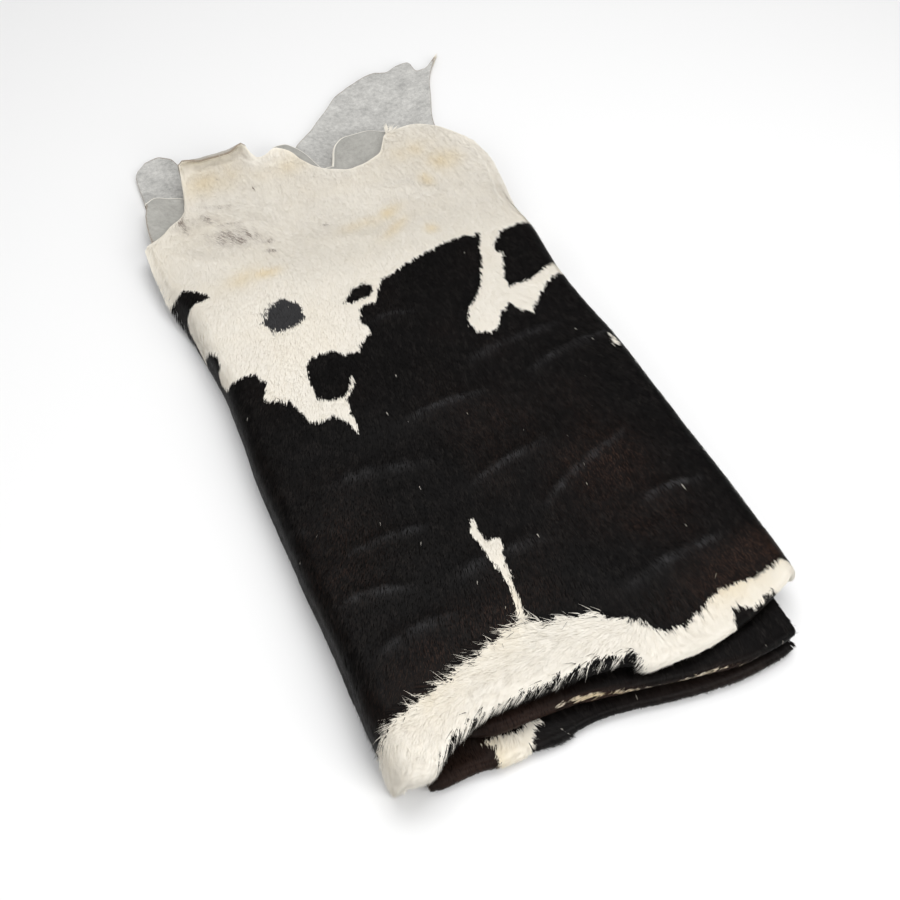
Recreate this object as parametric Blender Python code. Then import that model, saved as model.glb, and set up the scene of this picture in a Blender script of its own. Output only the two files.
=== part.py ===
"""Folded cowhide rug: one whole hide with its hair on, folded into a long flat bundle.

The hide runs back and forth along Y in six layers. Its loops are at the near end (-Y), one over the other like
stair treads, and its raw edges and two hidden turns are at the far end (+Y). The top pair of layers also hangs
down over the bundle's long sides as a skirt. Metres, +Z up, origin under the middle of the bounding box.

Tables give places in the bundle's own plan: x across it from its middle line, y along it from the near end.
"""
import math

import bpy
import numpy as np

# Leather with its lying hair, the air between two layers, and the step from one layer to the next
COAT = 0.0075
AIR = 0.003
PITCH = COAT + AIR

# Skirt of the top pair: radius over the long edges, and the least and most that hangs below it
SHOULDER = 0.014
SKIRT_LEAST = 0.006
SKIRT_MOST = 0.045
UNDER_SKIRT_START = 0.015
UNDER_SKIRT_END = 0.175

# The fourth and fifth layers turn well before the far end, and the layers over them settle beyond that
INNER_TURN_END = 0.630
INNER_TURN_BOW = 0.010
INNER_TURN_BOW_LENGTH = 2 / 3
SETTLE_START = 0.640
SETTLE_END = 0.800
DROOP_LENGTH = 0.120

# The loops and the outer turn are fuller than the rest
LOOP_SWELL = 0.003
TOP_SWELL = 0.004
TURN_SWELL = 0.002

# The bottom layer's flaps lie in low waves
FLAP_START = 1.000
FLAP_LENGTH = 0.090
FLAP_WAVE = 0.004
FLAP_WAVE_LENGTH = 0.165

# Length of the top layer's far edge that rolls up over itself, and the least turn that counts as a roll
ROLL_LENGTH = 0.033
ROLL_LEAST = 0.02

# A skirt that hangs flatter than this sine is not made longer for it
SKIRT_SINE_LEAST = 0.3

# Where along the bundle the columns of each far edge are placed
TOP_EDGE_AT = 0.88
TURN_EDGE_AT = 0.90
FLAP_EDGE_AT = 1.10

# The grid: columns across the flat part and down each skirt, and steps round a loop and a turn
FLAT_COLUMNS = 20
SKIRT_STEPS = (0.16, 0.33, 0.50, 0.75, 1.00)
COLUMNS = FLAT_COLUMNS + 2 * len(SKIRT_STEPS)
LOOP_STEPS = 6
TURN_STEPS = 4
INNER_STRAIGHT_END = 0.500
STRAIGHT_END = 0.800
STATIONS = (0.05, 0.10, 0.17, 0.30, 0.40, INNER_STRAIGHT_END, 0.60, 0.66, 0.70, 0.74, 0.77, STRAIGHT_END)
EDGE_STEPS = (0.30, 0.55, 0.75, 0.88, 0.95, 1.00)
FLAP_STEPS = (0.25, 0.45, 0.62, 0.78, 0.90, 1.00)
TURN_RUN_STEPS = (0.50, 1.00)

# Black hair over most of the hide, with a low shine
BLACK_HAIR = (0.012, 0.010, 0.010, 1.0)
HAIR_ROUGHNESS = 0.6

# Long edges of the top layer: where each outermost line lies, how far the skirt turns down in degrees, and
# how high its hem hangs over the surface
SIDES = (
    ("along", "left", "right", "left turn", "right turn", "left hem", "right hem"),
    (-0.050, -0.254, 0.258, 86, 62, 0.005, 0.040),
    (0.060, -0.256, 0.261, 86, 72, 0.006, 0.034),
    (0.200, -0.256, 0.263, 86, 84, 0.008, 0.018),
    (0.370, -0.255, 0.262, 86, 86, 0.006, 0.010),
    (0.540, -0.246, 0.253, 86, 84, 0.009, 0.012),
    (0.640, -0.252, 0.262, 82, 78, 0.011, 0.014),
    (0.740, -0.260, 0.266, 44, 46, 0.028, 0.026),
    (0.820, -0.259, 0.269, 12, 14, 0.042, 0.042),
    (0.930, -0.252, 0.256, 0, 4, 0.042, 0.042),
)

# Long edges of the layers under the top pair, and of the bottom layer
INNER_SIDES = (
    ("along", "left", "right", "bottom left", "bottom right"),
    (-0.060, -0.222, 0.216, -0.218, 0.214),
    (0.020, -0.221, 0.219, -0.219, 0.216),
    (0.700, -0.218, 0.222, -0.220, 0.222),
    (0.860, -0.247, 0.236, -0.235, 0.230),
    (0.900, -0.243, 0.236, -0.243, 0.238),
    (0.960, -0.226, 0.225, -0.231, 0.246),
    (1.030, -0.226, 0.225, -0.226, 0.272),
    (1.070, -0.226, 0.225, -0.205, 0.288),
    (1.139, -0.226, 0.225, -0.205, 0.333),
)

# Near end: how far each loop reaches, by place across
FRONT = (
    ("across", "top", "middle", "bottom"),
    (-0.290, -0.022, -0.002, -0.040),
    (-0.255, -0.034, -0.002, -0.040),
    (-0.223, -0.045, -0.002, -0.044),
    (-0.200, -0.032, -0.006, -0.046),
    (-0.172, -0.018, -0.012, -0.045),
    (-0.131, -0.007, -0.026, -0.050),
    (-0.085, -0.009, -0.028, -0.050),
    (-0.036, -0.015, -0.032, -0.048),
    (0.020, -0.023, -0.042, -0.054),
    (0.045, -0.038, -0.048, -0.059),
    (0.100, -0.042, -0.059, -0.067),
    (0.155, -0.036, -0.066, -0.071),
    (0.216, -0.018, -0.062, -0.067),
    (0.250, -0.004, -0.056, -0.058),
)

# Far end: the raw edge of the top layer
TOP_EDGE = (
    ("across", "far"),
    (-0.256, 0.842),
    (-0.214, 0.868),
    (-0.188, 0.890),
    (-0.160, 1.000),
    (-0.117, 1.010),
    (-0.072, 1.006),
    (-0.048, 0.961),
    (-0.034, 0.956),
    (-0.020, 0.959),
    (-0.008, 0.956),
    (0.003, 0.948),
    (0.013, 0.929),
    (0.025, 0.905),
    (0.042, 0.891),
    (0.075, 0.879),
    (0.122, 0.891),
    (0.158, 0.934),
    (0.206, 0.938),
    (0.234, 0.924),
    (0.262, 0.872),
)

# Far end: the grey turn between the second and third layers, which peeps out left and right
TURN_EDGE = (
    ("across", "far"),
    (-0.242, 0.942),
    (-0.231, 0.949),
    (-0.207, 0.939),
    (-0.186, 0.931),
    (-0.161, 0.905),
    (-0.080, 0.900),
    (-0.050, 0.950),
    (-0.028, 0.974),
    (-0.016, 0.987),
    (-0.002, 0.986),
    (0.009, 0.975),
    (0.020, 0.955),
    (0.036, 0.906),
    (0.051, 0.905),
    (0.059, 0.922),
    (0.069, 0.943),
    (0.081, 0.956),
    (0.096, 0.963),
    (0.130, 0.963),
    (0.160, 0.948),
    (0.185, 0.905),
    (0.236, 0.865),
)

# Far end: the raw edge of the bottom layer, with its two flaps
FLAP_EDGE = (
    ("across", "far"),
    (-0.212, 1.015),
    (-0.206, 1.040),
    (-0.199, 1.062),
    (-0.179, 1.064),
    (-0.153, 1.048),
    (-0.133, 1.030),
    (-0.105, 0.985),
    (-0.073, 0.950),
    (0.042, 0.960),
    (0.062, 1.002),
    (0.088, 1.023),
    (0.113, 1.061),
    (0.131, 1.090),
    (0.148, 1.101),
    (0.200, 1.113),
    (0.219, 1.108),
    (0.236, 1.123),
    (0.253, 1.128),
    (0.280, 1.101),
    (0.292, 1.100),
    (0.306, 1.122),
)

# How far the top layer's far edge rolls up, in degrees
ROLL = (
    ("across", "turn"),
    (-0.172, 0),
    (-0.158, 130),
    (-0.130, 185),
    (-0.090, 190),
    (-0.070, 150),
    (-0.050, 10),
    (-0.022, 45),
    (0.000, 25),
    (0.012, 0),
)

# How much of the loops' swelling is felt along the bundle
SWELL = (
    ("along", "share"),
    (-0.080, 0.8),
    (0.000, 1.0),
    (0.060, 0.9),
    (0.240, 0.0),
)

# Broad mounds and hollows of the top layer: middle, half size each way, and height
MOUNDS = (
    ("across", "along", "half across", "half along", "height"),
    (-0.110, 0.420, 0.090, 0.050, 0.0022),
    (0.020, 0.330, 0.100, 0.035, -0.0016),
    (0.130, 0.250, 0.090, 0.045, 0.0024),
    (-0.150, 0.205, 0.070, 0.040, 0.0018),
    (0.060, 0.560, 0.120, 0.050, 0.0020),
    (-0.070, 0.650, 0.100, 0.060, -0.0014),
    (0.160, 0.790, 0.070, 0.060, 0.0020),
    (-0.180, 0.770, 0.060, 0.050, 0.0024),
)


def read(table, column, at):
    """One column of a table, read at any place along its first column."""
    rows = np.array(table[1:], dtype=float)
    return np.interp(at, rows[:, 0], rows[:, table[0].index(column)])


def ease(at, start, end):
    """A soft step from 0 at start to 1 at end."""
    share = np.clip((at - start) / (end - start), 0.0, 1.0)
    return share * share * (3.0 - 2.0 * share)


def every_column(value):
    """The same value in every column of the grid."""
    return np.full(COLUMNS, float(value))


def mounds(x, y):
    """Height that the broad mounds give the top layer."""
    total = np.zeros_like(x)
    for across, along, half_across, half_along, height in MOUNDS[1:]:
        total += height * np.exp(-((x - across) / half_across) ** 2 - ((y - along) / half_along) ** 2)
    return total


def levels(x, y):
    """Heights of the six layers' middle surfaces at a place, from the bottom layer to the top one."""
    swell = read(SWELL, "share", y)
    wave = 1.0 + np.sin(2 * math.pi * x / FLAP_WAVE_LENGTH)
    bottom = COAT / 2 + FLAP_WAVE * wave * ease(y, FLAP_START, FLAP_START + FLAP_LENGTH)
    fifth = COAT / 2 + PITCH + LOOP_SWELL * swell
    fourth = fifth + PITCH
    settle = 2 * PITCH * ease(y, SETTLE_START, SETTLE_END)
    third = fourth + PITCH + LOOP_SWELL * swell - settle
    full = TURN_SWELL * ease(y, SETTLE_START, SETTLE_END)
    second = third + PITCH + full
    hidden_end = read(TURN_EDGE, "far", x)
    droop = PITCH * ease(y, hidden_end, hidden_end + DROOP_LENGTH)
    top = second + PITCH + TOP_SWELL * swell + mounds(x, y) - droop
    return {"top": top, "second": second, "third": third, "fourth": fourth, "fifth": fifth, "bottom": bottom}


def skirt_side(side, sign, y, middle):
    """One long side of the top pair: its turn in radians, the length that hangs, and the edge of its flat part."""
    turn = np.radians(read(SIDES, side + " turn", y))
    fall = middle - SHOULDER * (1 - np.cos(turn)) - read(SIDES, side + " hem", y)
    length = np.clip(fall / np.maximum(np.sin(turn), SKIRT_SINE_LEAST), SKIRT_LEAST, SKIRT_MOST)
    outer = sign * read(SIDES, side, y) - (COAT + PITCH) / 2 * np.sin(turn)
    flat = outer - SHOULDER * np.sin(turn) - length * np.cos(turn)
    return turn, length, flat


def across_pair(y, middle, share):
    """Across line of the top pair's middle surface: x, drop and lean of each column.

    share is how much of the skirt the layer keeps, from 1 to 0.
    """
    count = len(SKIRT_STEPS)
    x = np.zeros(COLUMNS)
    drop = np.zeros(COLUMNS)
    lean = np.zeros(COLUMNS)
    sides = (("left", -1.0, np.arange(count)[::-1]), ("right", 1.0, COLUMNS - count + np.arange(count)))
    flats = []
    for side, sign, columns in sides:
        turn, length, flat = skirt_side(side, sign, y, middle)
        flats.append(flat)
        run = np.array(SKIRT_STEPS) * share[columns] * (SHOULDER * turn + length)[columns]
        bent = np.minimum(run / SHOULDER, turn[columns])
        straight = np.maximum(run - SHOULDER * turn[columns], 0.0)
        x[columns] = sign * (flat[columns] + SHOULDER * np.sin(bent) + straight * np.cos(bent))
        drop[columns] = SHOULDER * (1 - np.cos(bent)) + straight * np.sin(bent)
        lean[columns] = sign * bent
    middle_columns = slice(count, COLUMNS - count)
    place = np.linspace(0.0, 1.0, FLAT_COLUMNS)
    left, right = (flat[middle_columns] for flat in flats)
    x[middle_columns] = -left + place * (left + right)
    return x, drop, lean


def pair_frame(y, share):
    """Middle surface and half opening of the top pair at one row."""
    x, _, _ = across_pair(y, every_column(5 * PITCH), share)
    heights = levels(x, y)
    middle = (heights["top"] + heights["second"]) / 2
    opening = (heights["top"] - heights["second"]) / 2
    x, drop, lean = across_pair(y, middle, share)
    return x, middle - drop, lean, opening


def top_row(y):
    """Top layer: the outer face of the top pair, with its skirts."""
    x, z, lean, opening = pair_frame(y, every_column(1.0))
    return np.stack([x + PITCH / 2 * np.sin(lean), y, z + opening * np.cos(lean)], axis=1)


def inner_x(y, prefix=""):
    """Across places of a layer inside the bundle, or with the prefix "bottom " of the bottom layer."""
    left = read(INNER_SIDES, prefix + "left", y)
    right = read(INNER_SIDES, prefix + "right", y)
    return left + np.linspace(0.0, 1.0, COLUMNS) * (right - left)


def second_row(y):
    """Second layer: it follows the skirt near its loop and lies flat further on."""
    x, z, lean, opening = pair_frame(y, 1.0 - ease(y, UNDER_SKIRT_START, UNDER_SKIRT_END))
    x = x - PITCH / 2 * np.sin(lean)
    z = z - opening * np.cos(lean)
    spread = ease(y, UNDER_SKIRT_END, INNER_TURN_END)
    return np.stack([x + spread * (inner_x(y) - x), y, z], axis=1)


def third_row(y):
    x = inner_x(y)
    return np.stack([x, y, levels(x, y)["third"]], axis=1)


def fourth_row(y):
    x = inner_x(y)
    return np.stack([x, y, levels(x, y)["fourth"]], axis=1)


def fifth_row(y):
    """Fifth layer: as wide as the bottom one at their loop, and as the fourth one at their turn."""
    narrow = inner_x(y, "bottom ")
    x = narrow + ease(y, STATIONS[0], INNER_STRAIGHT_END) * (inner_x(y) - narrow)
    return np.stack([x, y, levels(x, y)["fifth"]], axis=1)


def bottom_row(y):
    x = inner_x(y, "bottom ")
    return np.stack([x, y, levels(x, y)["bottom"]], axis=1)


def rolled(points, far, turn):
    """Rolls the last stretch before the far edge up over itself."""
    radius = ROLL_LENGTH / np.maximum(turn, ROLL_LEAST)
    bent = turn * np.clip(1.0 - (far - points[:, 1]) / ROLL_LENGTH, 0.0, 1.0)
    moved = points.copy()
    rolls = (turn > ROLL_LEAST) & (bent > 0.0)
    moved[rolls, 1] = (far - ROLL_LENGTH + radius * np.sin(bent))[rolls]
    moved[rolls, 2] += (radius * (1 - np.cos(bent)))[rolls]
    return moved


def bend(above, below, edge, across, sign, steps):
    """Rows round a loop (sign -1) or a turn (sign 1), from the layer above it to the layer below.

    edge is how far the bend reaches at each column. A bend is deeper where its edge runs at a slant, so that
    it stays round across its own line.
    """
    half = (above(edge)[:, 2] - below(edge)[:, 2]) / 2
    half = np.maximum(half, PITCH / 2) * np.sqrt(1.0 + np.gradient(edge, across) ** 2)
    start = edge - sign * half
    first = above(start)
    last = below(start)
    rows = []
    for step in range(1, steps):
        angle = math.pi * step / steps
        row = (first + last) / 2 + math.cos(angle) * (first - last) / 2
        row[:, 1] = start + sign * math.sin(angle) * half
        rows.append(row)
    return start, rows


def run_of(near, far, straight_end, near_steps, far_steps):
    """Y of each row of a layer from its near loop to its far end, with shared stations in the straight part."""
    stations = [station for station in STATIONS if station <= straight_end]
    rows = [near + step / near_steps * (stations[0] - near) for step in range(near_steps)]
    rows += [every_column(station) for station in stations]
    rows += [stations[-1] + step * (far - stations[-1]) for step in far_steps]
    return rows


def front_places():
    """Places across the near end, counted on down the skirts at the two sides."""
    x, _, _ = across_pair(every_column(0.0), every_column(5 * PITCH), every_column(1.0))
    steps = SKIRT_MOST * np.array(SKIRT_STEPS)
    x[: len(steps)] = x[len(steps)] - steps[::-1]
    x[-len(steps):] = x[-len(steps) - 1] + steps
    return x


def hide_rows():
    """All rows of the hide's middle surface, from the top layer's far edge to the bottom layer's far edge."""
    top_x, _, _ = across_pair(every_column(TOP_EDGE_AT), every_column(4 * PITCH), every_column(1.0))
    turn_x = inner_x(every_column(TURN_EDGE_AT))
    flap_x = inner_x(every_column(FLAP_EDGE_AT), "bottom ")
    front_x = front_places()
    inside_x = inner_x(every_column(0.0))
    top_far = read(TOP_EDGE, "far", top_x)
    flap_far = read(FLAP_EDGE, "far", flap_x)
    inner_far = INNER_TURN_END - INNER_TURN_BOW * np.cos(2 * math.pi * inside_x / INNER_TURN_BOW_LENGTH)
    roll = np.radians(read(ROLL, "turn", top_x))

    top_near, top_loop = bend(top_row, second_row, read(FRONT, "top", front_x), front_x, -1, LOOP_STEPS)
    middle_near, middle_loop = bend(
        third_row, fourth_row, read(FRONT, "middle", inside_x), inside_x, -1, LOOP_STEPS)
    bottom_near, bottom_loop = bend(
        fifth_row, bottom_row, read(FRONT, "bottom", inside_x), inside_x, -1, LOOP_STEPS)
    outer_far, outer_turn = bend(second_row, third_row, read(TURN_EDGE, "far", turn_x), turn_x, 1, TURN_STEPS)
    inner_far, inner_turn = bend(fourth_row, fifth_row, inner_far, inside_x, 1, TURN_STEPS)

    rows = [rolled(top_row(y), top_far, roll)
            for y in reversed(run_of(top_near, top_far, STRAIGHT_END, 2, EDGE_STEPS))]
    rows += top_loop
    rows += [second_row(y) for y in run_of(top_near, outer_far, STRAIGHT_END, 2, TURN_RUN_STEPS)]
    rows += outer_turn
    rows += [third_row(y) for y in reversed(run_of(middle_near, outer_far, STRAIGHT_END, 1, TURN_RUN_STEPS))]
    rows += middle_loop
    rows += [fourth_row(y) for y in run_of(middle_near, inner_far, INNER_STRAIGHT_END, 1, TURN_RUN_STEPS)]
    rows += inner_turn
    rows += [fifth_row(y)
             for y in reversed(run_of(bottom_near, inner_far, INNER_STRAIGHT_END, 1, TURN_RUN_STEPS))]
    rows += bottom_loop
    rows += [bottom_row(y) for y in run_of(bottom_near, flap_far, STRAIGHT_END, 1, FLAP_STEPS)]
    return np.array(rows)


def hair_side(rows):
    """Unit normals of the middle surface, pointing out of the hair side."""
    normals = np.cross(np.gradient(rows, axis=0), np.gradient(rows, axis=1))
    return normals / np.linalg.norm(normals, axis=2, keepdims=True)


def slab(rows, thickness):
    """Vertices and faces of the closed slab around a middle surface."""
    normals = hair_side(rows)
    count_v, count_u = rows.shape[:2]
    sheet = count_v * count_u
    vertices = np.concatenate([
        (rows + normals * thickness / 2).reshape(-1, 3),
        (rows - normals * thickness / 2).reshape(-1, 3),
    ])
    faces = []
    for v in range(count_v - 1):
        for u in range(count_u - 1):
            corner = v * count_u + u
            hair = (corner, corner + count_u, corner + count_u + 1, corner + 1)
            faces.append(hair)
            faces.append(tuple(index + sheet for index in reversed(hair)))
    first_row = list(range(count_u))
    last_row = [sheet - count_u + u for u in range(count_u)]
    left_line = [v * count_u for v in range(count_v)]
    right_line = [v * count_u + count_u - 1 for v in range(count_v)]
    for line, flip in ((first_row, False), (right_line, False), (last_row, True), (left_line, True)):
        for first, second in zip(line, line[1:]):
            face = (first, second, second + sheet, first + sheet)
            faces.append(tuple(reversed(face)) if flip else face)
    return vertices, faces


def hair_material():
    """Black hair with a low shine."""
    material = bpy.data.materials.new("black_hair")
    material.use_nodes = True
    shader = material.node_tree.nodes["Principled BSDF"]
    shader.inputs["Base Color"].default_value = BLACK_HAIR
    shader.inputs["Roughness"].default_value = HAIR_ROUGHNESS
    shader.inputs["Metallic"].default_value = 0.0
    return material


def build_hide():
    """The folded hide, lying on its bottom layer, with the origin under the middle of its box."""
    vertices, faces = slab(hide_rows(), COAT)
    low = vertices.min(axis=0)
    high = vertices.max(axis=0)
    vertices -= ((low[0] + high[0]) / 2, (low[1] + high[1]) / 2, low[2])
    mesh = bpy.data.meshes.new("hide")
    mesh.from_pydata(vertices.tolist(), [], faces)
    mesh.materials.append(hair_material())
    mesh.shade_smooth()
    mesh.set_sharp_from_angle(angle=math.radians(60))
    hide = bpy.data.objects.new("hide", mesh)
    bpy.context.scene.collection.objects.link(hide)
    return hide


def main():
    for old in list(bpy.data.objects):
        bpy.data.objects.remove(old, do_unlink=True)
    build_hide()


main()
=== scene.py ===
# %% [markdown]
# # A folded cowhide rug
# The rug is one whole cow hide with its hair on, folded back and forth into a long flat bundle. Its loops lie
# at the near end, one over the other, and its raw edges and grey flesh side peep out at the far end. This
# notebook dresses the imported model: it lays a thin leather sheet along the same folds and grows the hair on
# it. Everything is in metres, with +Y along the bundle and +Z up.

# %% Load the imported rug
import math

import bpy
import numpy as np
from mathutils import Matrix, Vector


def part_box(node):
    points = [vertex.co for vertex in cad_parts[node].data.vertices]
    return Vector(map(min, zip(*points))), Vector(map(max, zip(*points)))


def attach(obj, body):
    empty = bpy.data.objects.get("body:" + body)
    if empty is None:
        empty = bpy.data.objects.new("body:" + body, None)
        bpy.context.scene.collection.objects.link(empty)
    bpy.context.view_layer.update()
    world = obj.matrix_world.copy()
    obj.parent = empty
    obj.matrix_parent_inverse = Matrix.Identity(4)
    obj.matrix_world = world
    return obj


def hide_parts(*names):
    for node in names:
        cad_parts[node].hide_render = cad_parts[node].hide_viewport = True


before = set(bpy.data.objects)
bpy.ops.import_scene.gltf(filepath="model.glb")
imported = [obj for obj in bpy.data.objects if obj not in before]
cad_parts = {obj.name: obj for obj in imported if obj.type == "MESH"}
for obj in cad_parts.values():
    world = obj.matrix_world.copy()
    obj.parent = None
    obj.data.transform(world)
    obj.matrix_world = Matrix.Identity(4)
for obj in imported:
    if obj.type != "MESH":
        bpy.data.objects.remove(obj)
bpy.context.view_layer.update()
hide_low, hide_high = (np.array(corner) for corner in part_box("hide"))
print("packed hide, in millimetres:", np.round((hide_high - hide_low) * 1000, 1))

# %% [markdown]
# ## The fold tables
# A folded sheet is easiest to describe by where its edges and loops lie. Each table below is read along one
# place of the bundle's plan: x across it from its middle line and y along it from the near end. They are the
# sizes that the imported solid was made from, so the thin sheet lands on the same folds. The far edges' points
# were picked on the photograph and worked out in metres through the fitted camera. Reading the tables
# with a smooth curve that never overshoots keeps the raw edges flowing instead of faceted.

# %% Layer sizes
COAT = 0.0075
PITCH = 0.0105
SHOULDER = 0.014
SKIRT_LEAST, SKIRT_MOST = 0.006, 0.045
UNDER_SKIRT_START, UNDER_SKIRT_END = 0.015, 0.175
INNER_TURN_END, INNER_TURN_BOW = 0.630, 0.010
SETTLE_START, SETTLE_END, DROOP_LENGTH = 0.640, 0.800, 0.120
LOOP_SWELL, TOP_SWELL, TURN_SWELL = 0.003, 0.004, 0.002
FLAP_START, FLAP_LENGTH, FLAP_WAVE, FLAP_WAVE_LENGTH = 1.000, 0.090, 0.004, 0.165
ROLL_LENGTH, ROLL_LEAST = 0.033, 0.02
SKIRT_SINE_LEAST = 0.3
FIFTH_START, FIFTH_END = 0.050, 0.500
INNER_TURN_WAVE = 3 * math.pi
TOP_EDGE_AT, TURN_EDGE_AT, FLAP_EDGE_AT = 0.88, 0.90, 1.10

# %% Long edges and near loops
SIDES = (
    ("along", "left", "right", "left turn", "right turn", "left hem", "right hem"),
    (-0.050, -0.254, 0.258, 86, 62, 0.005, 0.040),
    (0.060, -0.256, 0.261, 86, 72, 0.006, 0.034),
    (0.200, -0.256, 0.263, 86, 84, 0.008, 0.018),
    (0.370, -0.255, 0.262, 86, 86, 0.006, 0.010),
    (0.540, -0.246, 0.253, 86, 84, 0.009, 0.012),
    (0.640, -0.252, 0.262, 82, 78, 0.011, 0.014),
    (0.740, -0.260, 0.266, 44, 46, 0.028, 0.026),
    (0.820, -0.259, 0.269, 12, 14, 0.042, 0.042),
    (0.930, -0.252, 0.256, 0, 4, 0.042, 0.042),
)
INNER_SIDES = (
    ("along", "left", "right", "bottom left", "bottom right"),
    (-0.060, -0.222, 0.216, -0.218, 0.214),
    (0.020, -0.221, 0.219, -0.219, 0.216),
    (0.700, -0.218, 0.222, -0.220, 0.222),
    (0.860, -0.247, 0.236, -0.235, 0.230),
    (0.900, -0.243, 0.236, -0.243, 0.238),
    (0.960, -0.226, 0.225, -0.231, 0.246),
    (1.030, -0.226, 0.225, -0.226, 0.272),
    (1.070, -0.226, 0.225, -0.205, 0.288),
    (1.139, -0.226, 0.225, -0.205, 0.333),
)
FRONT = (
    ("across", "top", "middle", "bottom"),
    (-0.290, -0.022, -0.002, -0.040),
    (-0.255, -0.034, -0.002, -0.040),
    (-0.223, -0.045, -0.002, -0.044),
    (-0.200, -0.032, -0.006, -0.046),
    (-0.172, -0.018, -0.012, -0.045),
    (-0.131, -0.007, -0.026, -0.050),
    (-0.085, -0.009, -0.028, -0.050),
    (-0.036, -0.015, -0.032, -0.048),
    (0.020, -0.023, -0.042, -0.054),
    (0.045, -0.038, -0.048, -0.059),
    (0.100, -0.042, -0.059, -0.067),
    (0.155, -0.036, -0.066, -0.071),
    (0.216, -0.018, -0.062, -0.067),
    (0.250, -0.004, -0.056, -0.058),
)

# %% Far edges, swelling and mounds
TOP_EDGE = (
    ("across", "far"),
    (-0.256, 0.842), (-0.214, 0.868), (-0.188, 0.890), (-0.160, 1.000), (-0.117, 1.010), (-0.072, 1.006),
    (-0.048, 0.961), (-0.034, 0.956), (-0.020, 0.959), (-0.008, 0.956), (0.003, 0.948), (0.013, 0.929),
    (0.025, 0.905), (0.042, 0.891), (0.075, 0.879), (0.122, 0.891), (0.158, 0.934), (0.206, 0.938),
    (0.234, 0.924), (0.262, 0.872),
)
TURN_EDGE = (
    ("across", "far"),
    (-0.242, 0.942), (-0.231, 0.949), (-0.207, 0.939), (-0.186, 0.931), (-0.161, 0.905), (-0.080, 0.900),
    (-0.050, 0.950), (-0.028, 0.974), (-0.016, 0.987), (-0.002, 0.986), (0.009, 0.975), (0.020, 0.955),
    (0.036, 0.906), (0.051, 0.905), (0.059, 0.922), (0.069, 0.943), (0.081, 0.956), (0.096, 0.963),
    (0.130, 0.963), (0.160, 0.948), (0.185, 0.905), (0.236, 0.865),
)
FLAP_EDGE = (
    ("across", "far"),
    (-0.212, 1.015), (-0.206, 1.040), (-0.199, 1.062), (-0.179, 1.064), (-0.153, 1.048), (-0.133, 1.030),
    (-0.105, 0.985), (-0.073, 0.950), (0.042, 0.960), (0.062, 1.002), (0.088, 1.023), (0.113, 1.061),
    (0.131, 1.090), (0.148, 1.101), (0.200, 1.113), (0.219, 1.108), (0.236, 1.123), (0.253, 1.128),
    (0.280, 1.101), (0.292, 1.100), (0.306, 1.122),
)
ROLL = (
    ("across", "turn"),
    (-0.172, 0), (-0.158, 130), (-0.130, 185), (-0.090, 190), (-0.070, 150), (-0.050, 10), (-0.022, 45),
    (0.000, 25), (0.012, 0),
)
SWELL = (("along", "share"), (-0.080, 0.8), (0.000, 1.0), (0.060, 0.9), (0.240, 0.0))
MOUNDS = (
    ("across", "along", "half across", "half along", "height"),
    (-0.110, 0.420, 0.090, 0.050, 0.0022),
    (0.020, 0.330, 0.100, 0.035, -0.0016),
    (0.130, 0.250, 0.090, 0.045, 0.0024),
    (-0.150, 0.205, 0.070, 0.040, 0.0018),
    (0.060, 0.560, 0.120, 0.050, 0.0020),
    (-0.070, 0.650, 0.100, 0.060, -0.0014),
    (0.160, 0.790, 0.070, 0.060, 0.0020),
    (-0.180, 0.770, 0.060, 0.050, 0.0024),
)


# %% Read a table with a smooth curve
def read(table, column, at):
    """One column of a table at any place along its first column, smooth and without overshoot."""
    rows = np.array(table[1:], dtype=float)
    place = rows[:, 0]
    value = rows[:, table[0].index(column)]
    step = np.diff(place)
    rise = np.diff(value) / step
    slope = np.concatenate([rise[:1], np.zeros(len(rise) - 1), rise[-1:]])
    same = rise[:-1] * rise[1:] > 0
    slope[1:-1][same] = 2 * (rise[:-1] * rise[1:])[same] / (rise[:-1] + rise[1:])[same]
    index = np.clip(np.searchsorted(place, at, side="right") - 1, 0, len(step) - 1)
    share = np.clip((at - place[index]) / step[index], 0.0, 1.0)
    back = 1.0 - share
    start = value[index] * (1 + 2 * share) * back**2 + value[index + 1] * (3 - 2 * share) * share**2
    return start + step[index] * share * back * (slope[index] * back - slope[index + 1] * share)


def ease(at, start, end):
    """A soft step from 0 at start to 1 at end."""
    share = np.clip((at - start) / (end - start), 0.0, 1.0)
    return share * share * (3.0 - 2.0 * share)


def soft_noise(seed, cell, across, along):
    """Smooth random values from -1 to 1 over the hide, with bumps about one cell wide."""
    table = np.random.default_rng(seed).uniform(-1.0, 1.0, (257, 257))
    x = np.mod(across / cell + 64.0, 256.0)
    y = np.mod(along / cell + 64.0, 256.0)
    i, j = x.astype(int), y.astype(int)
    fx, fy = ease(x - i, 0, 1), ease(y - j, 0, 1)
    low = table[i, j] * (1 - fx) + table[i + 1, j] * fx
    high = table[i, j + 1] * (1 - fx) + table[i + 1, j + 1] * fx
    return low * (1 - fy) + high * fy


print("right side at 0.3 m along:", round(float(read(SIDES, "right", 0.3)), 4))

# %% [markdown]
# ## The path of the folds
# The sheet is a grid. Its columns run across the hide and its rows follow it back and forth: top layer, near
# loop, second layer, far turn and so on down to the bottom layer. Each layer is a short function that gives
# one row of points at a place along the bundle. The rows are close together where the hide shows and far
# apart where it lies hidden, so that the points are spent where they are seen.

# %% Columns of the grid
FLAT_COLUMNS = 92
SKIRT_STEPS = np.array((0.05, 0.10, 0.16, 0.22, 0.28, 0.34, 0.42, 0.52, 0.64, 0.76, 0.88, 1.00))
SKIRT_COLUMNS = len(SKIRT_STEPS)
COLUMNS = FLAT_COLUMNS + 2 * SKIRT_COLUMNS


def every_column(value):
    """The same value in every column of the grid."""
    return np.full(COLUMNS, float(value))


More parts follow.
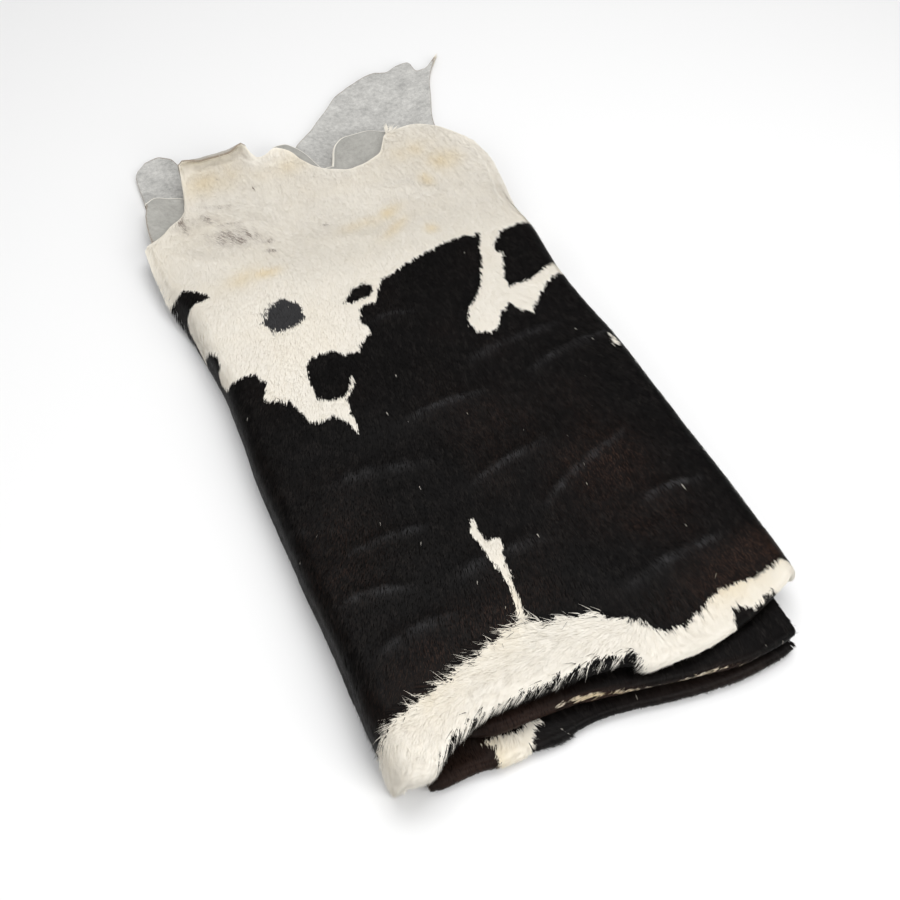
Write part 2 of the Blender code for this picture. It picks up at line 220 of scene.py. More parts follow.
def levels(x, y):
    """Heights of the six layers' middle surfaces at a place."""
    swell = read(SWELL, "share", y)
    mounds = sum(
        height * np.exp(-((x - across) / wide) ** 2 - ((y - along) / long) ** 2)
        for across, along, wide, long, height in MOUNDS[1:])
    wave = 1.0 + np.sin(2 * math.pi * x / FLAP_WAVE_LENGTH)
    bottom = COAT / 2 + FLAP_WAVE * wave * ease(y, FLAP_START, FLAP_START + FLAP_LENGTH)
    fifth = COAT / 2 + PITCH + LOOP_SWELL * swell
    fourth = fifth + PITCH
    third = fourth + PITCH + LOOP_SWELL * swell - 2 * PITCH * ease(y, SETTLE_START, SETTLE_END)
    second = third + PITCH + TURN_SWELL * ease(y, SETTLE_START, SETTLE_END)
    hidden_end = read(TURN_EDGE, "far", x)
    droop = PITCH * ease(y, hidden_end, hidden_end + DROOP_LENGTH)
    top = second + PITCH + TOP_SWELL * swell + mounds - droop
    return {"top": top, "second": second, "third": third, "fourth": fourth, "fifth": fifth, "bottom": bottom}


# %% Across line of the top pair, with its skirts
def skirt_side(side, sign, y, middle):
    """One long side: its turn in radians, the length that hangs, and the edge of its flat part."""
    turn = np.radians(read(SIDES, side + " turn", y))
    fall = middle - SHOULDER * (1 - np.cos(turn)) - read(SIDES, side + " hem", y)
    length = np.clip(fall / np.maximum(np.sin(turn), SKIRT_SINE_LEAST), SKIRT_LEAST, SKIRT_MOST)
    outer = sign * read(SIDES, side, y) - (COAT + PITCH) / 2 * np.sin(turn)
    return turn, length, outer - SHOULDER * np.sin(turn) - length * np.cos(turn)


def across_pair(y, middle, share):
    """x, drop and lean of each column; share is how much of the skirt the layer keeps."""
    x, drop, lean = np.zeros(COLUMNS), np.zeros(COLUMNS), np.zeros(COLUMNS)
    right_columns = COLUMNS - SKIRT_COLUMNS + np.arange(SKIRT_COLUMNS)
    flats = []
    left_columns = np.arange(SKIRT_COLUMNS)[::-1]
    for side, sign, columns in (("left", -1.0, left_columns), ("right", 1.0, right_columns)):
        turn, length, flat = skirt_side(side, sign, y, middle)
        flats.append(flat)
        run = SKIRT_STEPS * share[columns] * (SHOULDER * turn + length)[columns]
        bent = np.minimum(run / SHOULDER, turn[columns])
        straight = np.maximum(run - SHOULDER * turn[columns], 0.0)
        x[columns] = sign * (flat[columns] + SHOULDER * np.sin(bent) + straight * np.cos(bent))
        drop[columns] = SHOULDER * (1 - np.cos(bent)) + straight * np.sin(bent)
        lean[columns] = sign * bent
    middle_columns = slice(SKIRT_COLUMNS, COLUMNS - SKIRT_COLUMNS)
    left, right = (flat[middle_columns] for flat in flats)
    x[middle_columns] = -left + np.linspace(0.0, 1.0, FLAT_COLUMNS) * (left + right)
    return x, drop, lean


def pair_frame(y, share):
    """Middle surface and half opening of the top pair at one row."""
    x, _, _ = across_pair(y, every_column(5 * PITCH), share)
    heights = levels(x, y)
    middle = (heights["top"] + heights["second"]) / 2
    opening = (heights["top"] - heights["second"]) / 2
    x, drop, lean = across_pair(y, middle, share)
    return x, middle - drop, lean, opening


# %% One row of each layer
def top_row(y):
    x, z, lean, opening = pair_frame(y, every_column(1.0))
    return np.stack([x + PITCH / 2 * np.sin(lean), y, z + opening * np.cos(lean)], axis=1)


def inner_x(y, prefix=""):
    """Across places of a layer inside the bundle, or of the bottom layer."""
    left, right = (read(INNER_SIDES, prefix + side, y) for side in ("left", "right"))
    return left + np.linspace(0.0, 1.0, COLUMNS) * (right - left)


def second_row(y):
    x, z, lean, opening = pair_frame(y, 1.0 - ease(y, UNDER_SKIRT_START, UNDER_SKIRT_END))
    x = x - PITCH / 2 * np.sin(lean)
    spread = ease(y, UNDER_SKIRT_END, INNER_TURN_END)
    return np.stack([x + spread * (inner_x(y) - x), y, z - opening * np.cos(lean)], axis=1)


def inner_row(layer):
    """The row function of a layer that lies flat inside the bundle."""
    def row(y):
        x = inner_x(y, "bottom " if layer == "bottom" else "")
        if layer == "fifth":
            narrow = inner_x(y, "bottom ")
            x = narrow + ease(y, FIFTH_START, FIFTH_END) * (x - narrow)
        return np.stack([x, y, levels(x, y)[layer]], axis=1)
    return row


third_row, fourth_row = inner_row("third"), inner_row("fourth")
fifth_row, bottom_row = inner_row("fifth"), inner_row("bottom")


# %% Loops, turns and the rolled rim
def bend(above, below, edge, across, sign, steps):
    """Rows round a loop (sign -1) or a turn (sign 1), and where the layers above and below it start."""
    half = (above(edge)[:, 2] - below(edge)[:, 2]) / 2
    half = np.maximum(half, PITCH / 2) * np.sqrt(1.0 + np.gradient(edge, across) ** 2)
    start = edge - sign * half
    first, last = above(start), below(start)
    rows = []
    for step in range(1, steps):
        angle = math.pi * step / steps
        row = (first + last) / 2 + math.cos(angle) * (first - last) / 2
        row[:, 1] = start + sign * math.sin(angle) * half
        rows.append(row)
    return start, rows


def rolled(points, far, turn):
    """Rolls the last stretch before the far edge up over itself."""
    radius = ROLL_LENGTH / np.maximum(turn, ROLL_LEAST)
    bent = turn * np.clip(1.0 - (far - points[:, 1]) / ROLL_LENGTH, 0.0, 1.0)
    rolls = (turn > ROLL_LEAST) & (bent > 0.0)
    moved = points.copy()
    moved[rolls, 1] = (far - ROLL_LENGTH + radius * np.sin(bent))[rolls]
    moved[rolls, 2] += (radius * (1 - np.cos(bent)))[rolls]
    return moved


def front_places():
    """Places across the near end, counted on down the skirts at the two sides."""
    x, _, _ = across_pair(every_column(0.0), every_column(5 * PITCH), every_column(1.0))
    steps = SKIRT_MOST * SKIRT_STEPS
    x[:SKIRT_COLUMNS] = x[SKIRT_COLUMNS] - steps[::-1]
    x[-SKIRT_COLUMNS:] = x[-SKIRT_COLUMNS - 1] + steps
    return x


# %% Rows of the whole hide, from the top layer's far edge to the bottom layer's far edge
COARSE = (0.05, 0.10, 0.17, 0.30, 0.40, 0.50, 0.60, 0.66, 0.70, 0.74, 0.77, 0.80)
FINE = np.arange(0.050, 0.8001, 0.00625)
LOOP_STEPS, TURN_STEPS = 10, 8
EDGE_WANDER, FLAP_WANDER = 0.0016, 0.0026


def run_of(near, far, stations, near_steps, far_steps):
    """Y of each row of a layer, from its near loop to its far end."""
    rows = [near + step / near_steps * (stations[0] - near) for step in range(near_steps)]
    rows += [every_column(station) for station in stations]
    rows += [stations[-1] + step / far_steps * (far - stations[-1]) for step in range(1, far_steps + 1)]
    return rows


def wander(edge, across, size):
    """A raw edge as the knife left it: it wanders a little."""
    broad, narrow = (soft_noise(seed, cell, across, across * 0) for seed, cell in ((5, 0.021), (6, 0.009)))
    return edge + size * (broad + 0.5 * narrow)


def hide_rows():
    """The middle surface of the hide as rows, and the number of rows in each named stretch."""
    top_x, _, _ = across_pair(every_column(TOP_EDGE_AT), every_column(4 * PITCH), every_column(1.0))
    turn_x, flap_x = inner_x(every_column(TURN_EDGE_AT)), inner_x(every_column(FLAP_EDGE_AT), "bottom ")
    front_x, inside_x = front_places(), inner_x(every_column(0.0))
    top_far = wander(read(TOP_EDGE, "far", top_x), top_x, EDGE_WANDER)
    flap_far = wander(read(FLAP_EDGE, "far", flap_x), flap_x, FLAP_WANDER)
    inner_far = INNER_TURN_END - INNER_TURN_BOW * np.cos(INNER_TURN_WAVE * inside_x)
    roll = np.radians(read(ROLL, "turn", top_x))
    near, loop = {}, {}
    for name, above, below, across in (
            ("top", top_row, second_row, front_x),
            ("middle", third_row, fourth_row, inside_x),
            ("bottom", fifth_row, bottom_row, inside_x)):
        near[name], loop[name] = bend(above, below, read(FRONT, name, across), across, -1, LOOP_STEPS)
    outer_far, outer_turn = bend(second_row, third_row, read(TURN_EDGE, "far", turn_x), turn_x, 1, TURN_STEPS)
    inner_far, inner_turn = bend(fourth_row, fifth_row, inner_far, inside_x, 1, 4)
    half_way = COARSE[:6]
    top_places = run_of(near["top"], top_far, FINE, 14, 30)
    return (
        ("top", [rolled(top_row(y), top_far, roll) for y in top_places][::-1]),
        ("top loop", loop["top"]),
        ("second", [second_row(y) for y in run_of(near["top"], outer_far, COARSE, 6, 6)]),
        ("outer turn", outer_turn),
        ("third", [third_row(y) for y in run_of(near["middle"], outer_far, COARSE, 14, 6)][::-1]),
        ("middle loop", loop["middle"]),
        ("fourth", [fourth_row(y) for y in run_of(near["middle"], inner_far, half_way, 5, 2)]),
        ("inner turn", inner_turn),
        ("fifth", [fifth_row(y) for y in run_of(near["bottom"], inner_far, half_way, 14, 2)][::-1]),
        ("bottom loop", loop["bottom"]),
        ("bottom", [bottom_row(y) for y in run_of(near["bottom"], flap_far, COARSE, 5, 34)]),
    )


stretches = hide_rows()
middle = np.concatenate([np.array(rows) for _, rows in stretches])
stretch_of_row = np.concatenate([[name] * len(rows) for name, rows in stretches])
print("grid of", middle.shape[0], "rows and", middle.shape[1], "columns")

# %% [markdown]
# ## Places on the hide
# Hair, colours and creases need to know where they are on the hide and not only in space. Two numbers do it:
# "across" counts along the surface from the middle line, down the skirts too, and "along" is the plan's y on
# a layer's hair side and goes on by surface length round the near loop. Spots drawn in these numbers bend
# over the edges by themselves, as they do on a real hide.

# %% Surface places and directions
def lengths(step):
    return np.linalg.norm(step, axis=-1)


def unit(vectors):
    return vectors / np.maximum(np.linalg.norm(vectors, axis=-1, keepdims=True), 1e-12)


def surface_places(points):
    """across and along of every grid point."""
    centre = COLUMNS // 2
    steps = lengths(np.diff(points[:, :, ::2], axis=1))
    run = np.concatenate([np.zeros((len(points), 1)), np.cumsum(steps, axis=1)], axis=1)
    across = run - run[:, centre:centre + 1] + points[:, centre:centre + 1, 0]
    along = points[:, :, 1].copy()
    walked = lengths(np.diff(points, axis=0))
    for upper, loop, lower in (("top", "top loop", "second"), ("third", "middle loop", "fourth"),
                               ("fifth", "bottom loop", "bottom")):
        below = np.flatnonzero((stretch_of_row == loop) | (stretch_of_row == lower))
        for row in below:
            along[row] = along[row - 1] - walked[row - 1]
    return across, along


def outward(points):
    """Direction out of the hair side at every grid point."""
    return unit(np.cross(*(unit(np.gradient(points, axis=axis)) for axis in (0, 1))))


across, along = surface_places(middle)
hair_up = outward(middle)
print("across from", round(across.min(), 3), "to", round(across.max(), 3))

# %% [markdown]
# ## Creases
# A hide that has lain folded keeps soft creases and mounds. On black hair their crests get faint grey streaks
# of painted sheen.
# Each crease has its two ends, half its width and its height. A bell-shaped profile that fades
# out at both ends reads as a soft ridge or trough, which a bump map alone wouldn't give the outline.

# %% Lay the creases into the top layer
CREASES = (
    ("x", "y", "end x", "end y", "half width", "height"),
    (-0.071, 0.380, 0.054, 0.388, 0.007, 0.0020),
    (-0.022, 0.261, 0.096, 0.285, 0.007, 0.0024),
    (0.042, 0.198, 0.174, 0.257, 0.008, 0.0026),
    (0.141, 0.152, 0.222, 0.155, 0.007, 0.0026),
    (0.110, 0.120, 0.200, 0.128, 0.007, -0.0014),
    (-0.194, 0.230, -0.097, 0.231, 0.007, 0.0020),
    (-0.231, 0.172, -0.147, 0.163, 0.007, 0.0022),
    (-0.210, 0.098, -0.120, 0.110, 0.009, 0.0018),
    (0.123, 0.392, 0.250, 0.414, 0.008, 0.0022),
    (0.060, 0.440, 0.190, 0.452, 0.010, 0.0016),
    (-0.033, 0.553, 0.026, 0.552, 0.006, 0.0014),
    (-0.245, 0.277, -0.225, 0.283, 0.006, 0.0018),
    (-0.180, 0.330, -0.060, 0.318, 0.012, 0.0014),
    (-0.100, 0.150, 0.020, 0.160, 0.012, 0.0016),
    (0.060, 0.055, 0.200, 0.075, 0.010, 0.0020),
    (-0.140, 0.860, -0.060, 0.780, 0.012, 0.0020),
    (-0.070, 0.760, 0.060, 0.700, 0.014, 0.0016),
    (0.070, 0.820, 0.180, 0.770, 0.012, 0.0018),
    (-0.230, 0.800, -0.150, 0.740, 0.012, 0.0020),
)
UNEVEN = 0.0009
RUMPLE = 0.0016


def crease_heights(x, y, sheen=False):
    """Height of the creases at a place, or, with sheen, how strongly painted sheen shows on their crests, from
    0 to 1.
    """
    total = np.zeros_like(x)
    for x0, y0, x1, y1, half_width, height in CREASES[1:]:
        dx, dy = x1 - x0, y1 - y0
        share = ((x - x0) * dx + (y - y0) * dy) / (dx * dx + dy * dy)
        away = ((x - x0) * dy - (y - y0) * dx) / math.hypot(dx, dy) + 0.004 * np.sin(share * 4.0)
        fade = ease(share, -0.15, 0.30) * (1.0 - ease(share, 0.70, 1.15))
        if sheen:
            shine = max(height, 0.0) / 0.0026 * fade * np.exp(-(away / (0.6 * half_width)) ** 2)
            total = np.maximum(total, shine)
        else:
            total += height * fade * np.exp(-(away / half_width) ** 2)
    return total


on_top = stretch_of_row == "top"
is_loop_below = np.isin(stretch_of_row, ("third", "middle loop", "fourth", "fifth", "bottom loop"))
creased = crease_heights(across[on_top], along[on_top])
creased += UNEVEN * soft_noise(11, 0.045, across[on_top], along[on_top])
creased *= 1.0 - ease(along[on_top], 0.84, 0.90)
middle[on_top] += hair_up[on_top] * creased[:, :, None]
rumpled = (is_loop_below[:, None] & (along < 0.02)) * ease(along, -0.10, -0.06)
rumpled *= 1.0 - ease(along, 0.0, 0.02)
rumples = RUMPLE * soft_noise(12, 0.020, across * 0.45 + along, along)
middle += hair_up * (rumpled * rumples)[:, :, None]
hair_up = outward(middle)
print("creases from", round(creased.min() * 1000, 1), "to", round(creased.max() * 1000, 1), "mm")

# %% [markdown]
# ## The spots
# A cowhide's spots are outlines with a ragged rim, where hairs of one colour lie over the other. Their points
# were picked on the photograph and worked out as millimetres on the hide through the fitted camera. A
# signed distance, positive in the white, is worked out from them, because it can be blurred, shifted by noise
# and read at any point, for the skin and for each hair.

# %% White fields
WHITE_FAR = (
    (-330, 612), (-281, 618), (-257, 611), (-242, 601), (-233, 586), (-235, 569), (-248, 563), (-253, 552),
    (-240, 530), (-223, 533),
    (-206, 535), (-197, 529), (-197, 519), (-190, 515), (-194, 503), (-207, 486), (-192, 480), (-176, 469),
    (-170, 451), (-167, 430), (-156, 424), (-136, 426), (-125, 412), (-118, 387), (-112, 408), (-115, 421),
    (-111, 441), (-115, 447), (-133, 450), (-143, 464), (-142, 486), (-143, 498), (-135, 520), (-128, 526),
    (-116, 531), (-95, 528), (-83, 515), (-67, 511), (-58, 526), (-42, 534), (-38, 540), (-45, 563),
    (-36, 581), (-27, 588), (-11, 586), (1, 606), (13, 622), (36, 630), (74, 643), (114, 651), (150, 655),
    (159, 648), (172, 649), (161, 620), (154, 603), (131, 558), (115, 539), (97, 523), (84, 499), (90, 475),
    (106, 471), (114, 475), (128, 493), (149, 509), (155, 496), (171, 481), (182, 494), (205, 516),
    (233, 533), (330, 530), (330, 1100), (-330, 1100),
)
LOBE_GAP = ((-114, 446), (-103, 458), (-94, 470), (-90, 481), (-92, 466), (-102, 452), (-110, 443))
STREAK = (
    (-50, 216), (-45, 214), (-49, 190), (-44, 181), (-31, 177), (-33, 161), (-41, 144), (-41, 130),
    (-46, 105), (-50, 82), (-46, 60), (-62, 60), (-56, 81), (-52, 105), (-49, 126), (-54, 158), (-57, 190),
    (-53, 208),
)
SPECK = ((241, 406), (248, 398), (247, 386), (236, 379), (237, 388), (240, 397))
WHITE_BAND = (
    (-330, 2), (-251, 8), (-225, 14), (-192, 25), (-148, 35), (-121, 42), (-92, 52), (-65, 58), (-43, 55),
    (-22, 48), (20, 35), (38, 24), (50, 22), (60, 8), (72, -5), (102, -8), (119, -2), (130, 5), (148, 8),
    (169, 11), (196, 6), (217, 11), (241, 14), (330, 4), (330, -12), (262, -12), (236, -26), (224, -30),
    (216, -24), (208, -14), (199, -17), (177, -24), (166, -16), (155, -14), (149, -30), (146, -95), (42, -95),
    (41, -30), (34, -14), (0, -6), (-52, -4), (-123, -4), (-149, -7), (-181, -14), (-206, -34), (-222, -95),
    (-330, -95),
)

# %% Black spots inside the white
EDGE_SPOT = (
    (-330, 730), (-248, 722), (-236, 724), (-222, 714), (-211, 699), (-209, 692), (-222, 690), (-235, 688),
    (-243, 684), (-256, 683), (-266, 670), (-269, 650), (-275, 625), (-279, 612), (-330, 600),
)
RIGHT_PATCH = (
    (175, 604), (180, 618), (203, 641), (228, 643), (330, 650), (330, 550), (237, 555), (211, 541),
    (183, 535), (162, 536), (165, 547), (162, 555), (170, 566), (176, 586), (186, 599),
)
SMALL_SPOT = ((-54, 600), (-44, 611), (-30, 623), (-14, 627), (-6, 618), (-8, 606), (-18, 598), (-36, 596))
SLATE_SPOT = (
    (-162, 611), (-153, 631), (-144, 640), (-123, 644), (-105, 628), (-104, 615), (-108, 598), (-129, 589),
    (-152, 588),
)
PARTING = (
    (-60, -27), (-37, -28), (-17, -32), (28, -45), (73, -58), (98, -60), (118, -61), (147, -70), (165, -71),
    (147, -71), (118, -63), (98, -62), (73, -60), (28, -47), (-17, -34), (-37, -30),
)
BOTTOM_PATCH = (
    (-153, -21), (-133, -19), (-109, -23), (-86, -18), (-84, -25), (-97, -33), (-104, -43), (-108, -95),
    (-142, -95), (-140, -50), (-137, -28),
)


# %% Signed distance to the outlines
def inside_by(outline, x, y):
    """Distance in metres to a closed outline in millimetres, positive inside it."""
    corners = np.array(outline, dtype=float) / 1000
    nearest = np.full(x.shape, 1e9)
    inside = np.zeros(x.shape, dtype=bool)
    for (x0, y0), (x1, y1) in zip(corners, np.roll(corners, -1, axis=0)):
        dx, dy = x1 - x0, y1 - y0
        share = np.clip(((x - x0) * dx + (y - y0) * dy) / (dx * dx + dy * dy), 0.0, 1.0)
        nearest = np.minimum(nearest, (x - x0 - share * dx) ** 2 + (y - y0 - share * dy) ** 2)
        if dy:
            crosses = (y0 > y) != (y1 > y)
            inside ^= crosses & (x < x0 + (y - y0) / dy * dx)
    return np.where(inside, 1.0, -1.0) * np.sqrt(nearest)


def white_by(x, y, level):
    """How far inside the white a place is, on the top layers (0), middle loop (1) or bottom loop (2)."""
    ragged = 0.0011 * soft_noise(21, 0.007, x, y * 0.6) + 0.0009 * soft_noise(22, 0.0025, x, y * 0.3)
    white = inside_by(WHITE_FAR, x, y)
    for field in (LOBE_GAP, STREAK, SPECK, WHITE_BAND):
        white = np.maximum(white, inside_by(field, x, y))
    for spot in (EDGE_SPOT, RIGHT_PATCH, SMALL_SPOT, SLATE_SPOT):
        white = np.minimum(white, -inside_by(spot, x, y))
    fields = np.stack([white, inside_by(PARTING, x, y), inside_by(BOTTOM_PATCH, x, y)])
    return np.take_along_axis(fields, level[None], axis=0)[0] + ragged


is_middle = np.isin(stretch_of_row, ("outer turn", "third", "middle loop", "fourth", "inner turn"))[:, None]
is_bottom = np.isin(stretch_of_row, ("fifth", "bottom loop", "bottom"))[:, None]
level = (is_middle + 2 * is_bottom) * np.ones((1, COLUMNS), dtype=int)
is_upper = level == 0
white = white_by(across, along, level)
white = np.where((middle[:, :, 1] > 0.60) & ~is_upper, 0.02, white)
print("share of the top layer that is white:", round(float((white[on_top] > 0).mean()), 2))

# %% [markdown]
# ## Stains and tints
# White hide has yellow stains and grey flecks, and black hair turns reddish brown where light and wear have
# bleached it. They are soft round clouds, so each is one row of a table: its middle, half size each way, turn
# and strength. One number per point, "warmth", then does for both colours of hair.

# %% Clouds of warmth and dirt
WARM = (
    (0.076, 0.760, 0.030, 0.012, 25, 0.9),
    (0.033, 0.755, 0.028, 0.012, 10, 0.7),
    (0.072, 0.720, 0.026, 0.009, 35, 1.0),
    (0.118, 0.695, 0.010, 0.010, 0, 0.9),
    (0.162, 0.809, 0.012, 0.018, 0, 0.8),
    (0.166, 0.881, 0.034, 0.022, 0, 0.5),
    (0.202, 0.842, 0.030, 0.024, 20, 0.7),
    (-0.122, 0.710, 0.022, 0.011, 0, 1.0),
    (-0.154, 0.715, 0.026, 0.016, 20, 0.6),
    (-0.020, 0.930, 0.060, 0.022, 0, 0.5),
    (-0.130, 0.940, 0.060, 0.034, 0, 0.6),
    (0.130, 0.220, 0.070, 0.060, 20, 0.6),
    (0.150, 0.132, 0.060, 0.050, 0, 0.4),
    (-0.175, 0.052, 0.060, 0.040, 30, 0.6),
    (-0.070, 0.085, 0.070, 0.036, 0, 0.5),
    (0.170, 0.030, 0.080, 0.030, 10, 0.8),
    (0.225, 0.040, 0.040, 0.022, 10, 1.5),
    (0.060, 0.330, 0.070, 0.070, 0, 0.3),
    (-0.200, 0.250, 0.040, 0.070, 0, 0.3),
)
DIRT = (
    (-0.137, 0.806, 0.038, 0.019, -22, 1.1),
    (-0.097, 0.780, 0.008, 0.007, 0, 1.0),
    (-0.102, 0.755, 0.010, 0.005, -20, 0.9),
    (-0.165, 0.857, 0.030, 0.014, -25, 0.7),
    (-0.137, 0.836, 0.030, 0.008, -15, 0.7),
    (-0.137, 0.879, 0.030, 0.006, -20, 0.6),
    (-0.077, 0.898, 0.009, 0.003, 20, 0.9),
    (-0.121, 0.943, 0.008, 0.003, 0, 0.6),
    (-0.010, 0.775, 0.012, 0.003, 0, 0.8),
    (-0.204, 0.868, 0.012, 0.030, 10, 1.0),
    (-0.040, 0.900, 0.220, 0.160, 0, 0.22),
    (0.150, 0.800, 0.160, 0.120, 0, 0.20),
)
WARM_MIDDLE = (
    (-0.100, -0.026, 0.060, 0.030, -8, 1.2),
    (0.000, -0.042, 0.060, 0.009, -18, 1.8),
    (0.070, -0.064, 0.060, 0.009, -10, 1.8),
    (0.140, -0.072, 0.060, 0.009, -10, 1.6),
)
WARM_BOTTOM = (
    (-0.175, -0.036, 0.050, 0.030, 0, 1.2),
    (0.120, -0.060, 0.120, 0.010, -10, 0.5),
)


def clouds(table, x, y):
    """How strong the soft clouds of a table are: x, y, half x, half y, turn in degrees, strength."""
    total = np.zeros_like(x)
    for x0, y0, half_x, half_y, turn, strength in table:
        cos, sin = math.cos(math.radians(turn)), math.sin(math.radians(turn))
        a = ((x - x0) * cos + (y - y0) * sin) / half_x
        b = ((y - y0) * cos - (x - x0) * sin) / half_y
        total = np.maximum(total, strength * np.exp(-a * a - b * b))
    return total


def warmth_at(x, y):
    patchy = 0.5 + 0.5 * soft_noise(31, 0.016, x, y * 0.4)
    return np.clip(clouds(WARM, x, y) * (0.45 + 0.8 * patchy) + 0.10 * soft_noise(32, 0.05, x, y), 0.0, 1.0)


def dirt_at(x, y):
    patchy = 0.5 + 0.5 * soft_noise(33, 0.006, x, y * 0.35)
    return np.clip(clouds(DIRT, x, y) * (0.3 + 1.1 * patchy), 0.0, 1.0)


warmth, dirt = warmth_at(across, along), dirt_at(across, along)
warmth = np.where(is_middle, clouds(WARM_MIDDLE, across, along), warmth)
warmth = np.where(is_bottom, clouds(WARM_BOTTOM, across, along), warmth)
slate_and_sheen = inside_by(SLATE_SPOT, across, along)

# %% [markdown]
# ## Node helpers
# Every finish below is a small node tree. A few helpers keep the lines short: one makes a node and fills its
# inputs, one reads a number that was stored on the mesh, and one mixes two colours.

# %% Helpers for materials
class Finish:
    """A material that is put together node by node."""

    def __init__(self, name):
        self.material = bpy.data.materials.new(name)
        self.material.use_nodes = True
        self.tree = self.material.node_tree
        self.shader = self.tree.nodes["Principled BSDF"]

    def put(self, target, value):
        """Sets an input, or links it when the value is another node's output."""
        if isinstance(value, bpy.types.NodeSocket):
            self.tree.links.new(value, target)
        else:
            target.default_value = value

    def node(self, kind, inputs=(), **settings):
        made = self.tree.nodes.new("ShaderNode" + kind)
        for key, value in settings.items():
            setattr(made, key, value)
        for key, value in dict(inputs).items():
            self.put(made.inputs[key], value)
        return made

    def number(self, name):
        return self.node("Attribute", attribute_name=name).outputs["Fac"]

    def math(self, operation, first, second=0.0, third=0.0):
        return self.node("Math", {0: first, 1: second, 2: third}, operation=operation).outputs[0]

    def times(self, first, second):
        return self.math("MULTIPLY", first, second)

    def scaled(self, value, by, plus):
        return self.math("MULTIPLY_ADD", value, by, plus)

    def mix(self, share, first, second):
        made = self.node("Mix", data_type="RGBA")
        for place, value in ((0, share), (6, first), (7, second)):
            self.put(made.inputs[place], value)
        return made.outputs[2]

    def noise(self, vector, scale, detail=3.0, roughness=0.55):
        inputs = {"Vector": vector, "Scale": scale, "Detail": detail, "Roughness": roughness}
        return self.node("TexNoise", inputs).outputs["Fac"]

    def ramp(self, value, low, high):
        """value rescaled so that low becomes 0 and high becomes 1."""
        made = self.node("MapRange", {"Value": value, "From Min": low, "From Max": high})
        return made.outputs["Result"]

    def stretched(self, place, along_scale):
        """Hide places squeezed along the hair, so that noise makes streaks."""
        return self.node("Mapping", {"Vector": place, "Scale": (1.0, along_scale, 1.0)}).outputs["Vector"]

    def bump(self, height, strength, distance):
        inputs = {"Height": height, "Strength": strength, "Distance": distance}
        return self.node("Bump", inputs).outputs["Normal"]

    def hide_place(self):
        return self.node("Attribute", attribute_name="hide_place").outputs["Vector"]

    def surface(self, colour, rough, normal, specular):
        """Joins colour, roughness and bump to the shader, and hands over the material."""
        for name, value in (("Base Color", colour), ("Roughness", rough), ("Normal", normal)):
            self.put(self.shader.inputs[name], value)
        self.shader.inputs["Specular IOR Level"].default_value = specular
        return self.material


BLACK_ROOT = (0.0024, 0.0021, 0.0020, 1.0)
BLACK_TIP_AND_GLINT = (0.0190, 0.0165, 0.0150, 1.0)
BROWN_TIP = (0.0480, 0.0250, 0.0170, 1.0)
# The slate spot's own grey, also used for the painted sheen on crease crests.
SLATE_GREY_AND_SHEEN = (0.0420, 0.0415, 0.0430, 1.0)
CREAM_ROOT = (0.8150, 0.7700, 0.6800, 1.0)
CREAM_TIP = (0.8650, 0.8250, 0.7450, 1.0)
YELLOW = (0.8200, 0.6600, 0.3600, 1.0)
BROWN_DIRT = (0.2500, 0.2000, 0.1700, 1.0)


def coat_colour(finish, is_white, tip, strand, warm, dirty, slate_and_sheen_share):
    """Colour of hair from its kind, its place from root to tip, its tone, its stains and its painted glint and
    sheen.
    """
    # Black hair is paler at its tip; strands with a high strand value get brighter tips as a painted glint.
    black = finish.mix(finish.times(tip, finish.math("POWER", strand, 3.0)), BLACK_ROOT, BLACK_TIP_AND_GLINT)
    black = finish.mix(finish.times(finish.times(warm, tip), 0.55), black, BROWN_TIP)
    black = finish.mix(slate_and_sheen_share, black, SLATE_GREY_AND_SHEEN)
    cream = finish.mix(finish.scaled(tip, 0.7, finish.times(strand, 0.3)),
                       CREAM_ROOT, CREAM_TIP)
    cream = finish.mix(finish.times(warm, 0.58), cream, YELLOW)
    cream = finish.mix(finish.times(dirty, 0.80), cream, BROWN_DIRT)
    return finish.mix(is_white, black, cream)


# %% [markdown]
# ## The undercoat
# Between the long hairs of a coat lies short dense underfur, which hides the skin. It is a finish on the
# leather's hair side, with streaks along the nap in colour, roughness and bump, and with the spots' ragged
# rim. The rim comes from the signed distance, pushed back and forth by the same streaks.

# %% Undercoat finish
def undercoat_finish():
    finish = Finish("undercoat")
    place = finish.hide_place()
    streaks = finish.noise(finish.stretched(place, 0.12), 900.0, 4.0)
    locks = finish.noise(finish.stretched(place, 0.35), 160.0, 3.0)
    rim = finish.scaled(finish.math("SUBTRACT", streaks, 0.5), 0.005, finish.number("white"))
    is_white = finish.ramp(rim, -0.0014, 0.0014)
    dirty = finish.times(finish.number("dirt"), finish.ramp(streaks, 0.45, 0.65))
    slate_and_sheen_share = finish.ramp(finish.number("slate_and_sheen"), -0.001, 0.002)
    strand = finish.ramp(streaks, 0.3, 0.7)
    tip = finish.ramp(locks, 0.3, 0.8)
    colour = coat_colour(finish, is_white, tip, strand, finish.number("warmth"), dirty, slate_and_sheen_share)
    rough = finish.scaled(locks, 0.25, finish.scaled(is_white, 0.12, 0.45))
    height = finish.math("ADD", finish.times(streaks, 0.5), locks)
    return finish.surface(colour, rough, finish.bump(height, 0.9, 0.0012), 0.05)


# %% [markdown]
# ## The flesh side
# Tanned cowhide is buffed to a pale grey suede on the flesh side. It is mottled at two sizes, has a fine
# fibrous nap, and is brown and crumbly at the raw cut edge. Rubbing has left the far fold a pale line. Fibres
# are fine noise, and the brown rim and the pale line along the far fold are stored distances.

# %% Suede finish
SUEDE_DARK = (0.300, 0.296, 0.284, 1.0)
SUEDE_PALE = (0.650, 0.640, 0.610, 1.0)
FIBRE = (0.660, 0.650, 0.620, 1.0)
BEIGE = (0.470, 0.420, 0.340, 1.0)
SHADED = (0.290, 0.280, 0.245, 1.0)
RAW_EDGE = (0.230, 0.170, 0.120, 1.0)
RUBBED = (0.900, 0.860, 0.760, 1.0)


